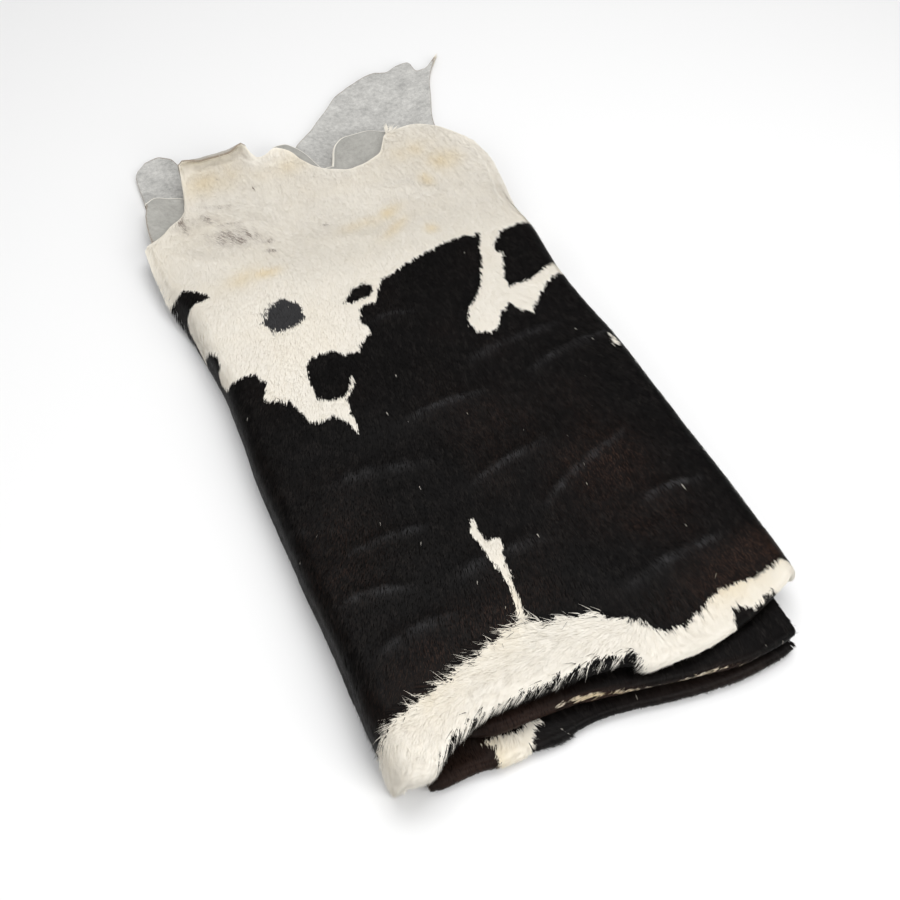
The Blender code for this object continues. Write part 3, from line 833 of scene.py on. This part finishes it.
def suede_finish():
    finish = Finish("grey suede")
    place = finish.hide_place()
    clouds_noise = finish.noise(place, 28.0, 5.0, 0.6)
    mottle = finish.noise(place, 140.0, 4.0, 0.65)
    fibres = finish.noise(place, 1500.0, 3.0, 0.7)
    grain = finish.noise(place, 420.0, 5.0, 0.75)
    pale = finish.scaled(clouds_noise, 0.35, finish.times(mottle, 0.35))
    pale = finish.scaled(grain, 0.30, pale)
    colour = finish.mix(finish.ramp(pale, 0.38, 0.62), SUEDE_DARK, SUEDE_PALE)
    ragged = finish.scaled(finish.math("SUBTRACT", grain, 0.5), 0.012, finish.number("rim"))
    for share, tint in (
            (finish.times(finish.ramp(fibres, 0.50, 0.75), 0.30), FIBRE),
            (finish.times(finish.number("beige"), 0.7), BEIGE),
            (finish.times(finish.number("shaded"), 0.55), SHADED),
            (finish.times(finish.ramp(ragged, 0.0026, 0.0006), 0.65), RAW_EDGE),
            (finish.ramp(finish.number("fold line"), 0.0036, 0.0026), RUBBED)):
        colour = finish.mix(share, colour, tint)
    finish.shader.inputs["Sheen Weight"].default_value = 0.25
    height = finish.scaled(fibres, 0.35, finish.times(mottle, 0.9))
    return finish.surface(colour, finish.scaled(mottle, 0.15, 0.84), finish.bump(height, 0.7, 0.0011), 0.2)


undercoat, suede = undercoat_finish(), suede_finish()
print("finishes:", undercoat.name, "and", suede.name)

# %% [markdown]
# ## The leather sheet
# The sheet is closed: a hair face and a flesh face with a narrow rim between them. Its hair face stands for
# leather and underfur together, so it lies a little inside the solid's own face, and it thins down to bare
# leather at the raw edges. Both faces come from the same grid, moved along its normals.

# %% Distance from the raw edge
def rim_distance(points):
    """Distance of every grid point from the nearest raw edge, along the sheet."""
    rows = np.concatenate([np.zeros((1, COLUMNS)), np.cumsum(lengths(np.diff(points, axis=0)), axis=0)])
    ends = np.minimum(rows, rows[-1] - rows)
    columns = np.concatenate(
        [np.zeros((len(points), 1)), np.cumsum(lengths(np.diff(points, axis=1)), axis=1)], axis=1)
    sides = np.minimum(columns, columns[:, -1:] - columns)
    return np.minimum(ends, sides)


LEATHER = 0.0025
UNDERFUR = 0.0018
rim = rim_distance(middle)
turn_rows = np.flatnonzero(stretch_of_row == "outer turn")
crest = turn_rows[1]
down_fold = np.cumsum(np.concatenate([np.zeros((1, COLUMNS)), lengths(np.diff(middle, axis=0))]), axis=0)
fold_line = np.abs(down_fold - down_fold[crest])
leather_level = -COAT / 2 + LEATHER
hair_level = leather_level + UNDERFUR * ease(rim, 0.0, 0.012)
curl = 0.003 * (1.0 - ease(rim, 0.0, 0.012)) * (along > 1.0) * (stretch_of_row == "bottom")[:, None]
middle[:, :, 2] += curl * (0.5 + 0.5 * soft_noise(41, 0.05, across, along))
hair_face = middle + hair_up * hair_level[:, :, None]
flesh_face = middle - hair_up * COAT / 2
thickest = float(hair_level.max() + COAT / 2)
print("leather", LEATHER * 1000, "mm, with underfur", round(thickest * 1000, 1), "mm")


# %% Close the sheet
def sheet_faces(rows, columns):
    """Quads of the hair face, the flesh face and the rim, as three lists."""
    corner = (np.arange(rows - 1)[:, None] * columns + np.arange(columns - 1)).ravel()
    hair = np.stack([corner, corner + columns, corner + columns + 1, corner + 1], axis=1)
    flesh = hair[:, ::-1] + rows * columns
    grid = np.arange(rows * columns).reshape(rows, columns)
    outline = np.concatenate([grid[0, :-1], grid[:-1, -1], grid[-1, :0:-1], grid[:0:-1, 0]])
    after = np.roll(outline, -1)
    edge = np.stack([outline, after, after + rows * columns, outline + rows * columns], axis=1)
    return hair, flesh, edge


def mesh_from(name, points, faces, numbers):
    """A mesh from arrays, with named numbers on its points."""
    mesh = bpy.data.meshes.new(name)
    size = faces.shape[1]
    mesh.vertices.add(len(points))
    mesh.vertices.foreach_set("co", points.astype(np.float32).ravel())
    mesh.loops.add(faces.size)
    mesh.loops.foreach_set("vertex_index", faces.astype(np.int32).ravel())
    mesh.polygons.add(len(faces))
    mesh.polygons.foreach_set("loop_start", np.arange(0, faces.size, size, dtype=np.int32))
    mesh.polygons.foreach_set("loop_total", np.full(len(faces), size, dtype=np.int32))
    mesh.update(calc_edges=True)
    for key, values in numbers.items():
        kind = "FLOAT_VECTOR" if values.ndim == 2 else "FLOAT"
        stored = mesh.attributes.new(key, kind, "POINT")
        stored.data.foreach_set("vector" if values.ndim == 2 else "value", values.astype(np.float32).ravel())
    return mesh


def placed(name, data):
    """A new object in the scene."""
    made = bpy.data.objects.new(name, data)
    bpy.context.scene.collection.objects.link(made)
    return made


def map_layout(mesh, places):
    """A UV map from one place per point."""
    layer = mesh.uv_layers.new(name="OFBake")
    index = np.empty(len(mesh.loops), dtype=np.int32)
    mesh.loops.foreach_get("vertex_index", index)
    layer.uv.foreach_set("vector", places[index].astype(np.float32).ravel())


fine_low = np.minimum(flesh_face.min(axis=(0, 1)), (middle + hair_up * COAT / 2).min(axis=(0, 1)))
fine_high = np.maximum(flesh_face.max(axis=(0, 1)), (middle + hair_up * COAT / 2).max(axis=(0, 1)))
to_row = (hide_low + hide_high) / 2 - (fine_low + fine_high) / 2
to_row[2] = hide_low[2]
print("plan to row frame:", np.round(to_row, 4), "box differs by mm:",
      np.round((fine_high - fine_low - hide_high + hide_low) * 1000, 1))


# %% Make the sheet object
def both(values):
    """One grid of numbers for the hair face's points and again for the flesh face's."""
    flat = values.reshape(-1, *values.shape[2:])
    return np.concatenate([flat, flat])


def build_sheet():
    rows, columns = middle.shape[:2]
    hair, flesh, edge = sheet_faces(rows, columns)
    place = np.stack([across, along, np.zeros_like(across)], axis=2)
    beige = ease(along, 0.93, 0.99) * on_top[:, None]
    shaded = np.isin(stretch_of_row, ("second", "outer turn"))[:, None] * np.ones(COLUMNS)
    grids = {"hide_place": place, "white": white, "warmth": warmth, "dirt": dirt, "slate_and_sheen": slate_and_sheen, "rim": rim,
             "fold line": fold_line, "beige": beige, "shaded": shaded}
    numbers = {key: both(values) for key, values in grids.items()}
    points = np.concatenate([hair_face.reshape(-1, 3), flesh_face.reshape(-1, 3)]) + to_row
    mesh = mesh_from("hide_leather", points, np.concatenate([hair, flesh, edge]), numbers)
    mesh.materials.append(undercoat)
    mesh.materials.append(suede)
    slots = np.concatenate([np.zeros(len(hair)), np.ones(len(flesh) + len(edge))]).astype(np.int32)
    mesh.polygons.foreach_set("material_index", slots)
    shown = np.where(np.isin(stretch_of_row, ("second", "fourth", "inner turn")), 0.15, 1.0)
    down = np.cumsum(shown) / shown.sum()
    u = 0.01 + 0.47 * np.arange(columns) / (columns - 1)
    layout = np.stack(np.broadcast_arrays(u[None, :], down[:, None]), axis=2).reshape(-1, 2)
    map_layout(mesh, np.concatenate([layout, layout + (0.5, 0.0)]))
    mesh.shade_smooth()
    mesh.set_sharp_from_angle(angle=math.radians(50))
    return placed("hide_leather", mesh)


leather_sheet = build_sheet()
triangles = sum(len(polygon.vertices) - 2 for polygon in leather_sheet.data.polygons)
steps_down, steps_across = np.diff(middle, axis=0)[:, :-1], np.diff(middle, axis=1)[:-1]
sheet_area = float(lengths(np.cross(steps_down, steps_across)).sum())
print("leather sheet:", triangles, "triangles, cut area", round(sheet_area, 3), "square metres")

# %% [markdown]
# ## Lying hair
# Hair is what makes a hide look soft. Each hair, or small lock of hairs, is a thin blade of two triangles:
# narrow at the root, widest half way and pointed at the tip. It doesn't stand straight up but follows the
# surface along the nap, so that it bends over the folds, and hairs that start near each other lean to one
# tip. Blades are joined in a few meshes made from arrays, which is far faster than one object per hair.

# %% Where hair grows, and how long it is
GROWTH = {"top": 1.0, "top loop": 1.0, "second": 0.0, "outer turn": 0.0, "third": 0.0, "middle loop": 1.0,
          "fourth": 0.0, "inner turn": 0.0, "fifth": 0.0, "bottom loop": 0.9, "bottom": 0.0}
NEAR_SHOWN = {"second": -0.070, "third": 0.030, "fourth": -0.080, "fifth": 0.020, "bottom": -0.080}


def growth_map():
    """How densely hair grows at each grid point, from 0 where nobody sees it."""
    growth = np.array([GROWTH[name] for name in stretch_of_row])[:, None] * np.ones(COLUMNS)
    for name in ("third", "fifth"):
        rows = stretch_of_row == name
        growth[rows] = 1.0 - ease(middle[rows][:, :, 1], NEAR_SHOWN[name] - 0.02, NEAR_SHOWN[name])
        side = np.minimum(np.arange(COLUMNS), COLUMNS - 1 - np.arange(COLUMNS)) < 3
        growth[rows] = np.maximum(growth[rows], 0.35 * side * (middle[rows][:, :, 1] < 0.45))
    for name in ("second", "fourth", "bottom"):
        rows = stretch_of_row == name
        growth[rows] = 0.7 * ease(along[rows], NEAR_SHOWN[name] - 0.004, NEAR_SHOWN[name] + 0.010)
        growth[rows] *= middle[rows][:, :, 1] < 0.05
    tip = (stretch_of_row == "bottom")[:, None] & (middle[:, :, 1] > 1.085) & (middle[:, :, 0] > 0.295)
    growth[tip] = 0.5
    return growth


LONG_TOP = (
    (0.092, 0.016, 0.046, 0.036, 0, 0.75),
    (-0.262, 0.030, 0.030, 0.060, 0, 0.60),
    (0.156, 0.930, 0.007, 0.009, 0, 0.90),
)
LONG_LOW = (
    (-0.084, -0.046, 0.020, 0.020, 0, 1.0),
    (-0.120, -0.040, 0.022, 0.022, 0, 0.65),
    (0.090, -0.070, 0.170, 0.016, 0, 0.60),
)
FRINGE = (
    (-0.272, 0.790, 0.030, 0.090, 0, 1.0),
    (0.275, 0.810, 0.034, 0.110, 0, 1.0),
)
FRINGE_LENGTH = 0.010
growth = growth_map()
SHORT, LONG = 0.0095, 0.026
band_share = np.where(is_upper & (white > -0.004), 1.0 - ease(along, 0.050, 0.090), 0.0)
band_share *= 1.0 - ease(across, 0.030, 0.080)
long_share = np.maximum(band_share, clouds(LONG_TOP, across, along) * is_upper)
long_share = np.maximum(long_share, clouds(LONG_LOW, across, along) * is_bottom)
growth *= 1.0 + 1.2 * long_share * is_bottom
long_share = np.where(middle[:, :, 1] > 1.05, 1.0, long_share)
hair_length = SHORT + (LONG - SHORT) * long_share
hair_length += 0.003 * (1.0 - ease(rim, 0.0, 0.02)) * is_upper
hair_length += 0.002 * ease(white, 0.0, 0.004) * is_upper
hair_length += FRINGE_LENGTH * clouds(FRINGE, across, along) * is_upper
print("hair from", round(hair_length.min() * 1000), "to", round(hair_length.max() * 1000), "mm long")

# %% Comb the hair
COMB = -0.14
SPREAD_OUT = 1.6
TO_RIGHT = (
    (-0.080, -0.046, 0.026, 0.030, 0, 0.9),
    (0.130, -0.070, 0.140, 0.020, 0, 0.45),
)
TO_LEFT = ((-0.126, -0.040, 0.018, 0.030, 0, 0.7),)
FAR_SWIRL = (
    (-0.140, 0.840, 0.090, 0.080, -20, 1.0),
    (-0.060, 0.760, 0.070, 0.060, 0, 0.5),
)


def comb_angle(x, y):
    """Turn of the hair from the nap on the top layer, in radians, positive towards the right."""
    swirl = 0.20 * soft_noise(51, 0.070, x, y) + 0.05 * soft_noise(52, 0.024, x, y)
    swirl += clouds(FAR_SWIRL, x, y)
    return COMB + SPREAD_OUT * np.clip(x, -0.26, 0.26) * (0.6 + 0.4 * np.abs(x) / 0.26) + swirl


BAND_RIM = (
    ("across", "along"), (-0.251, 0.012), (-0.192, 0.028), (-0.148, 0.038), (-0.092, 0.054), (-0.065, 0.060),
    (-0.022, 0.052), (0.020, 0.040), (0.060, 0.020),
)
BAND_LOWER, BAND_UPPER = -0.95, -2.10
SPIKES = ((0.156, 0.932, 0.006, 0.010, 0, 1.0),)
outwards = np.sign(across) * 1.1 * clouds(FRINGE, across, along)
low_comb = (clouds(TO_RIGHT, across, along) - clouds(TO_LEFT, across, along)) * is_bottom
upper_rim = read(BAND_RIM, "along", across)
band_comb = BAND_LOWER + (BAND_UPPER - BAND_LOWER) * ease(along, -0.005, upper_rim)
band_here = band_share * ease(across, -0.250, -0.215)
near_parting = ease(inside_by(PARTING, across, along), -0.010, -0.002) * is_middle
low_comb = low_comb - 1.35 * near_parting
top_comb = comb_angle(across, along) + outwards
comb = np.where(is_upper, top_comb + band_here * (band_comb - top_comb), low_comb)
comb = np.where(is_upper & (clouds(SPIKES, across, along) > 0.5), math.pi - 0.35, comb)


def at_grid(values, row, column):
    """A grid of values read between its points, and carried on straight past its edges."""
    i = np.clip(np.floor(row).astype(int), 0, values.shape[0] - 2)
    j = np.clip(np.floor(column).astype(int), 0, values.shape[1] - 2)
    fi, fj = row - i, column - j
    if values.ndim == 3:
        fi, fj = fi[:, None], fj[:, None]
    near = values[i, j] * (1 - fj) + values[i, j + 1] * fj
    far = values[i + 1, j] * (1 - fj) + values[i + 1, j + 1] * fj
    return near * (1 - fi) + far * fi


row_step = np.maximum(lengths(np.gradient(middle, axis=0)), 2e-4)
column_step = np.maximum(lengths(np.gradient(middle, axis=1)), 2e-4)


# %% Locks: hairs that share a tip
LOCK = 0.0048


def lock_of(x, y, seed):
    """Middle of the lock that a hair belongs to, and three random numbers of that lock."""
    rng = np.random.default_rng(seed)
    jitter = rng.uniform(0.0, 1.0, (5, 256, 256))
    cell_x, cell_y = x / LOCK, y / (LOCK * 1.7)
    best = np.full(x.shape, 1e9)
    found = np.zeros((5,) + x.shape)
    for di in (-1, 0, 1):
        for dj in (-1, 0, 1):
            i, j = np.floor(cell_x).astype(int) + di, np.floor(cell_y).astype(int) + dj
            picked = jitter[:, i % 256, j % 256]
            far = (i + picked[0] - cell_x) ** 2 + (j + picked[1] - cell_y) ** 2
            nearer = far < best
            best = np.where(nearer, far, best)
            values = np.stack([(i + picked[0]) * LOCK, (j + picked[1]) * LOCK * 1.7, *picked[2:]])
            found = np.where(nearer, values, found)
    return found


# %% Grow blades
LIFT_SHORT, LIFT_LONG = 0.0012, 0.0040
BEND_LIFT_MOST, BEND_LIFT_LONG = 0.0042, 0.002
STRAIGHTEN, DROOP = 0.35, 0.35
LOWEST = 0.0004
FLAP_TIP = 1.05


def grow(count, region, seed, stray):
    """Root, middle and tip of each blade over the rows of a region, with its numbers."""
    rng = np.random.default_rng(seed)
    weight = (growth * row_step * column_step)[:-1, :-1].copy()
    weight *= region[:-1, :-1]
    total = np.cumsum(weight.ravel())
    cell = np.searchsorted(total, rng.uniform(0.0, total[-1], count))
    cell = np.minimum(cell, weight.size - 1)
    row = cell // weight.shape[1] + rng.uniform(0.0, 1.0, count)
    column = cell % weight.shape[1] + rng.uniform(0.0, 1.0, count)
    x, y = at_grid(across, row, column), at_grid(along, row, column)
    lock_x, lock_y, lean, rise, shade = lock_of(x, y, seed + 1)
    wild = rng.uniform(0.0, 1.0, count) < stray
    length = at_grid(hair_length, row, column) * rng.uniform(0.70, 1.15, count) * (0.85 + 0.3 * rise)
    long = at_grid(long_share, row, column)
    combed = at_grid(comb, row, column)
    angle = combed + (0.07 + 0.25 * long) * (lean - 0.5) + rng.normal(0.0, 0.06, count)
    angle = angle + np.where(wild, rng.normal(0.0, 0.5, count), 0.0)
    off_line = (lock_x - x) * np.cos(combed) + (lock_y - y) * np.sin(combed)
    pinch = (0.38 + 0.40 * long) * np.where(wild, 0.0, 1.0) * off_line
    up = (LIFT_SHORT + (LIFT_LONG - LIFT_SHORT) * long) * (0.8 + 0.4 * rise) * rng.uniform(0.75, 1.2, count)
    up *= np.where(wild, 2.0, 1.0)
    half = length / 2
    spots = [(row, column)]
    for share in (0.35, 1.0):
        r, c = spots[-1]
        side_step = np.sin(angle) * half + np.cos(angle) * pinch * share * 0.6
        down_step = np.cos(angle) * half - np.sin(angle) * pinch * share * 0.6
        r, c = r + down_step / at_grid(row_step, r, c), c + side_step / at_grid(column_step, r, c)
        r = np.minimum(r, len(middle) + 2.0)
        spots.append((r, np.clip(c, -3.0, COLUMNS + 2.0)))
    return spots, up, length, long, wild, lean, shade, rng


def blades(count, region, seed, width, stray):
    """Points, faces and numbers of a mesh of blades."""
    spots, up, length, long, wild, lean, shade, rng = grow(count, region, seed, stray)
    bend_lift = np.minimum(up, BEND_LIFT_MOST + BEND_LIFT_LONG * long)
    raised = (0.0, bend_lift, up * rng.uniform(0.55, 1.10, count))
    points, normals = [], []
    for (row, column), height in zip(spots, raised):
        normal = unit(at_grid(hair_up, row, column))
        surface = at_grid(middle, row, column) + normal * at_grid(hair_level, row, column)[:, None]
        points.append(surface + normal * np.reshape(height, (-1, 1)))
        normals.append(normal)
    root, bent, tip = points
    straight = root + unit(bent - root) * (length / 2)[:, None]
    bent = bent + STRAIGHTEN * (straight - bent)
    onward = bent + unit(bent - root) * (length / 2)[:, None]
    onward[:, 2] -= DROOP * long * length
    tip = tip + (0.30 + 0.25 * long)[:, None] * (onward - tip)
    side = unit(np.cross(normals[1], tip - root))
    roll = (rng.normal(0.0, 0.08, count) + 0.20 * long * (shade - 0.5))[:, None]
    side = unit(side * np.cos(roll) + normals[1] * np.sin(roll))
    half_width = width * rng.uniform(0.65, 1.25, count) * (1.0 + 0.35 * long) * np.where(wild, 0.6, 1.0)
    half_width = half_width[:, None] / 2
    corners = np.stack([root, bent + side * half_width, bent - side * half_width, tip], axis=1)
    corners[:, :, 2] = np.maximum(corners[:, :, 2], LOWEST)
    first = np.arange(count) * 4
    faces = np.concatenate([np.stack([first, first + 2, first + 1], axis=1),
                            np.stack([first + 1, first + 2, first + 3], axis=1)])
    glint = (0.07 + 0.22 * long) * (lean - 0.5) + rng.normal(0.0, 0.03, count) * (1 + long)
    facing = np.stack([normals[0], normals[1] + 0.15 * side, normals[1] - 0.15 * side, normals[2]], axis=1)
    facing = unit(facing + (side * glint[:, None])[:, None, :])
    return corners.reshape(-1, 3) + to_row, faces, facing.reshape(-1, 3), shade, long, spots, rng


print("blades grow from", int((growth > 0).sum()), "grid points")

# %% [markdown]
# ## The hair finish
# A hair is darkest and warmest at its root and palest at its tip, and no two are quite alike. On black hair
# the pale tips of some strands also stand for a painted glint, and crease crests get a painted grey sheen. The
# blade
# carries four numbers for that: its kind, its place from root to tip, its own tone and its stains. Roughness
# varies from hair to hair too, so that the coat glints in streaks and not in one smooth sheet.

# %% Lying hair finish
def hair_finish():
    finish = Finish("lying hair")
    place = finish.hide_place()
    streaks = finish.noise(finish.stretched(place, 0.15), 1400.0, 2.0)
    strand = finish.scaled(finish.math("SUBTRACT", streaks, 0.5), 0.5, finish.number("strand"))
    white_hair, tip, warm, dirty, slate_and_sheen_share = map(finish.number, ("white", "tip", "warmth", "dirt", "slate_and_sheen"))
    colour = coat_colour(finish, white_hair, tip, strand, warm, dirty, slate_and_sheen_share)
    rough = finish.scaled(strand, 0.16, finish.scaled(white_hair, 0.22, 0.34))
    return finish.surface(colour, rough, finish.bump(streaks, 0.2, 0.0003), 0.07)


lying_hair = hair_finish()


# %% Join blades in a mesh
COLOUR_JITTER = 0.0008
SLATE_RIM, SLATE_FEATHER = 0.010, 2.2
DUSTY_SHARE, DUSTY_WHITE = 0.0002, 0.55
SHINE_MOST = 0.72


def hair_piece(name, count, region, seed, width, stray):
    points, faces, facing, shade, long, spots, rng = blades(count, region, seed, width, stray)
    row, column = spots[0]
    down = 0.6 - 0.3 * long
    x, y = (at_grid(grid, row, column) * (1 - down) + at_grid(grid, *spots[1]) * down
            for grid in (across, along))
    here = level[row.astype(int), 0]
    jitter = rng.normal(0.0, COLOUR_JITTER, count) + (0.0030 + 0.0030 * long) * (shade - 0.5)
    is_slate = (inside_by(SLATE_SPOT, x, y) > -SLATE_RIM) & (here == 0)
    distance = white_by(x, y, here) + jitter * np.where(is_slate, SLATE_FEATHER, 1.0)
    is_white = ((distance > 0) | (at_grid(middle, row, column)[:, 1] > FLAP_TIP)).astype(float)
    dusty = (rng.uniform(0.0, 1.0, count) < DUSTY_SHARE) & (is_white == 0)
    is_white = np.where(dusty, DUSTY_WHITE, is_white)
    stain = np.choose(here, (dirt_at(x, y), 0.6, 0.0))
    strand = np.clip(0.55 * shade + 0.45 * rng.uniform(0.0, 1.0, count), 0.0, 1.0)
    rusty = np.where((is_white == 0) & (here == 0), 0.35 + 2.4 * (rng.uniform(0.0, 1.0, count) > 0.75), 1.0)
    is_streak = rng.uniform(0.0, 1.0, count) < 0.22 + 0.50 * stain
    streaky = np.where(is_streak, 0.85 + 0.65 * stain, 0.50 - 0.34 * stain)
    broken = np.clip(0.62 + 0.55 * soft_noise(61, 0.014, x, y), 0.0, 1.0)
    # Painted sheen: black hairs on crease crests are mixed towards the grey, standing for the light the crests
    # catch.
    crest = crease_heights(x, y, sheen=True) * (here == 0) * broken * (0.15 + 1.1 * strand)
    one = {"white": is_white, "strand": strand, "warmth": at_grid(warmth, row, column) * rusty,
           "dirt": stain * np.where(here == 1, 1.0, streaky) * rng.uniform(0.6, 1.2, count),
           "slate_and_sheen": np.maximum(is_slate, np.clip(crest, 0.0, SHINE_MOST))}
    numbers = {key: np.repeat(values, 4) for key, values in one.items()}
    numbers["tip"] = np.tile((0.0, 0.6, 0.6, 1.0), count)
    roots = np.stack([x, y, np.zeros(count)], axis=1)
    numbers["hide_place"] = np.repeat(roots, 4, axis=0)
    mesh = mesh_from(name, points, faces, numbers)
    mesh.materials.append(lying_hair)
    spread = np.repeat(np.stack([0.5 + x, 0.1 + 0.8 * y], axis=1), 4, axis=0)
    spread += np.tile(np.array(((0, 0.004), (0.0006, 0.002), (-0.0006, 0.002), (0, 0))), (count, 1))
    map_layout(mesh, np.clip(spread, 0.0, 1.0))
    mesh.shade_smooth()
    mesh.normals_split_custom_set_from_vertices(facing)
    print(name, len(faces), "triangles")
    return placed(name, mesh)


# %% Grow the coat
top_or_loop = np.isin(stretch_of_row, ("top", "top loop", "second"))[:, None]
BAND_END, NEAR_END, MIDDLE_END, BAND_SPLIT = 0.065, 0.33, 0.60, -0.06
in_band = top_or_loop & (along < BAND_END)
REGIONS = (
    ("coat_far", 82000, top_or_loop & (along >= MIDDLE_END), 101, 0.0009, 0.012),
    ("coat_middle", 74000, top_or_loop & (along >= NEAR_END) & (along < MIDDLE_END), 201, 0.0010, 0.012),
    ("coat_near", 74000, top_or_loop & (along >= BAND_END) & (along < NEAR_END), 301, 0.0010, 0.012),
    ("coat_band_left", 64000, in_band & (across < BAND_SPLIT), 401, 0.0007, 0.03),
    ("coat_band_right", 56000, in_band & (across >= BAND_SPLIT), 451, 0.0007, 0.03),
    ("coat_loops", 56000, ~top_or_loop & np.ones(COLUMNS, dtype=bool), 501, 0.0009, 0.02),
)
hair = [hair_piece(*region) for region in REGIONS]

# %% [markdown]
# ## What rides on what
# A hide has no joints, so every piece rides on the one body. The leather sheet stands for the imported solid,
# which is hidden. This sheet is a back-and-forth section, so it unfolds to a longer and narrower strip, and
# the cut area printed above is the model's own.

for piece in [leather_sheet] + hair:
    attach(piece, "root")
    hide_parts("hide")

# %% [markdown]
# ## Floor, light and camera
# The rug lies on a plain pale floor under soft studio light. One broad lamp overhead gives the black hair its
# faint sheen, and two weaker ones and a pale sky keep the shadows open. The camera looks down at the bundle
# from its near left, at the photograph's angle.

# %% Floor
def floor_finish():
    finish = Finish("pale floor")
    finish.shader.inputs["Base Color"].default_value = (0.86, 0.86, 0.86, 1.0)
    finish.shader.inputs["Roughness"].default_value = 0.9
    finish.shader.inputs["Specular IOR Level"].default_value = 0.1
    return finish.material


floor_mesh = mesh_from("floor", np.array(((-6, -6, 0), (6, -6, 0), (6, 6, 0), (-6, 6, 0)), dtype=float),
                       np.array(((0, 1, 2, 3),)), {})
floor_mesh.materials.append(floor_finish())
floor = placed("floor", floor_mesh)


# %% Lamps
def softbox(name, place, target, size, power):
    lamp = bpy.data.lights.new(name, "AREA")
    lamp.shape = "SQUARE"
    lamp.size = size
    lamp.energy = power
    box = placed(name, lamp)
    box.location = place
    aim = np.array(target) - np.array(place)
    box.rotation_euler = (math.atan2(math.hypot(aim[0], aim[1]), -aim[2]), 0.0, math.atan2(-aim[0], aim[1]))


softbox("overhead", (0.3, 0.2, 2.4), (0.0, 0.0, 0.0), 1.8, 34.0)
softbox("from_left", (-2.0, -0.6, 1.5), (0.0, 0.0, 0.0), 1.4, 8.0)
softbox("from_front", (0.6, -2.2, 1.2), (0.0, -0.3, 0.0), 1.4, 30.0)
world = bpy.data.worlds.new("pale sky")
world.use_nodes = True
world.node_tree.nodes["Background"].inputs["Color"].default_value = (1.0, 1.0, 1.0, 1.0)
world.node_tree.nodes["Background"].inputs["Strength"].default_value = 0.48
bpy.context.scene.world = world
bpy.context.scene.view_settings.view_transform = "Standard"

# %% Camera
TURN = math.radians(-25.1)
PITCH_DOWN = math.radians(52.6)
EYE_IN_PLAN = (-0.3925, -0.4630, 1.182)
LENS, SENSOR = 46.8, 36.0
lens = bpy.data.cameras.new("camera")
lens.lens = LENS
lens.sensor_width = SENSOR
lens.clip_end = 50.0
camera = placed("camera", lens)
camera.location = np.array(EYE_IN_PLAN) + to_row
camera.rotation_euler = (math.pi / 2 - PITCH_DOWN, 0.0, TURN)
bpy.context.scene.camera = camera
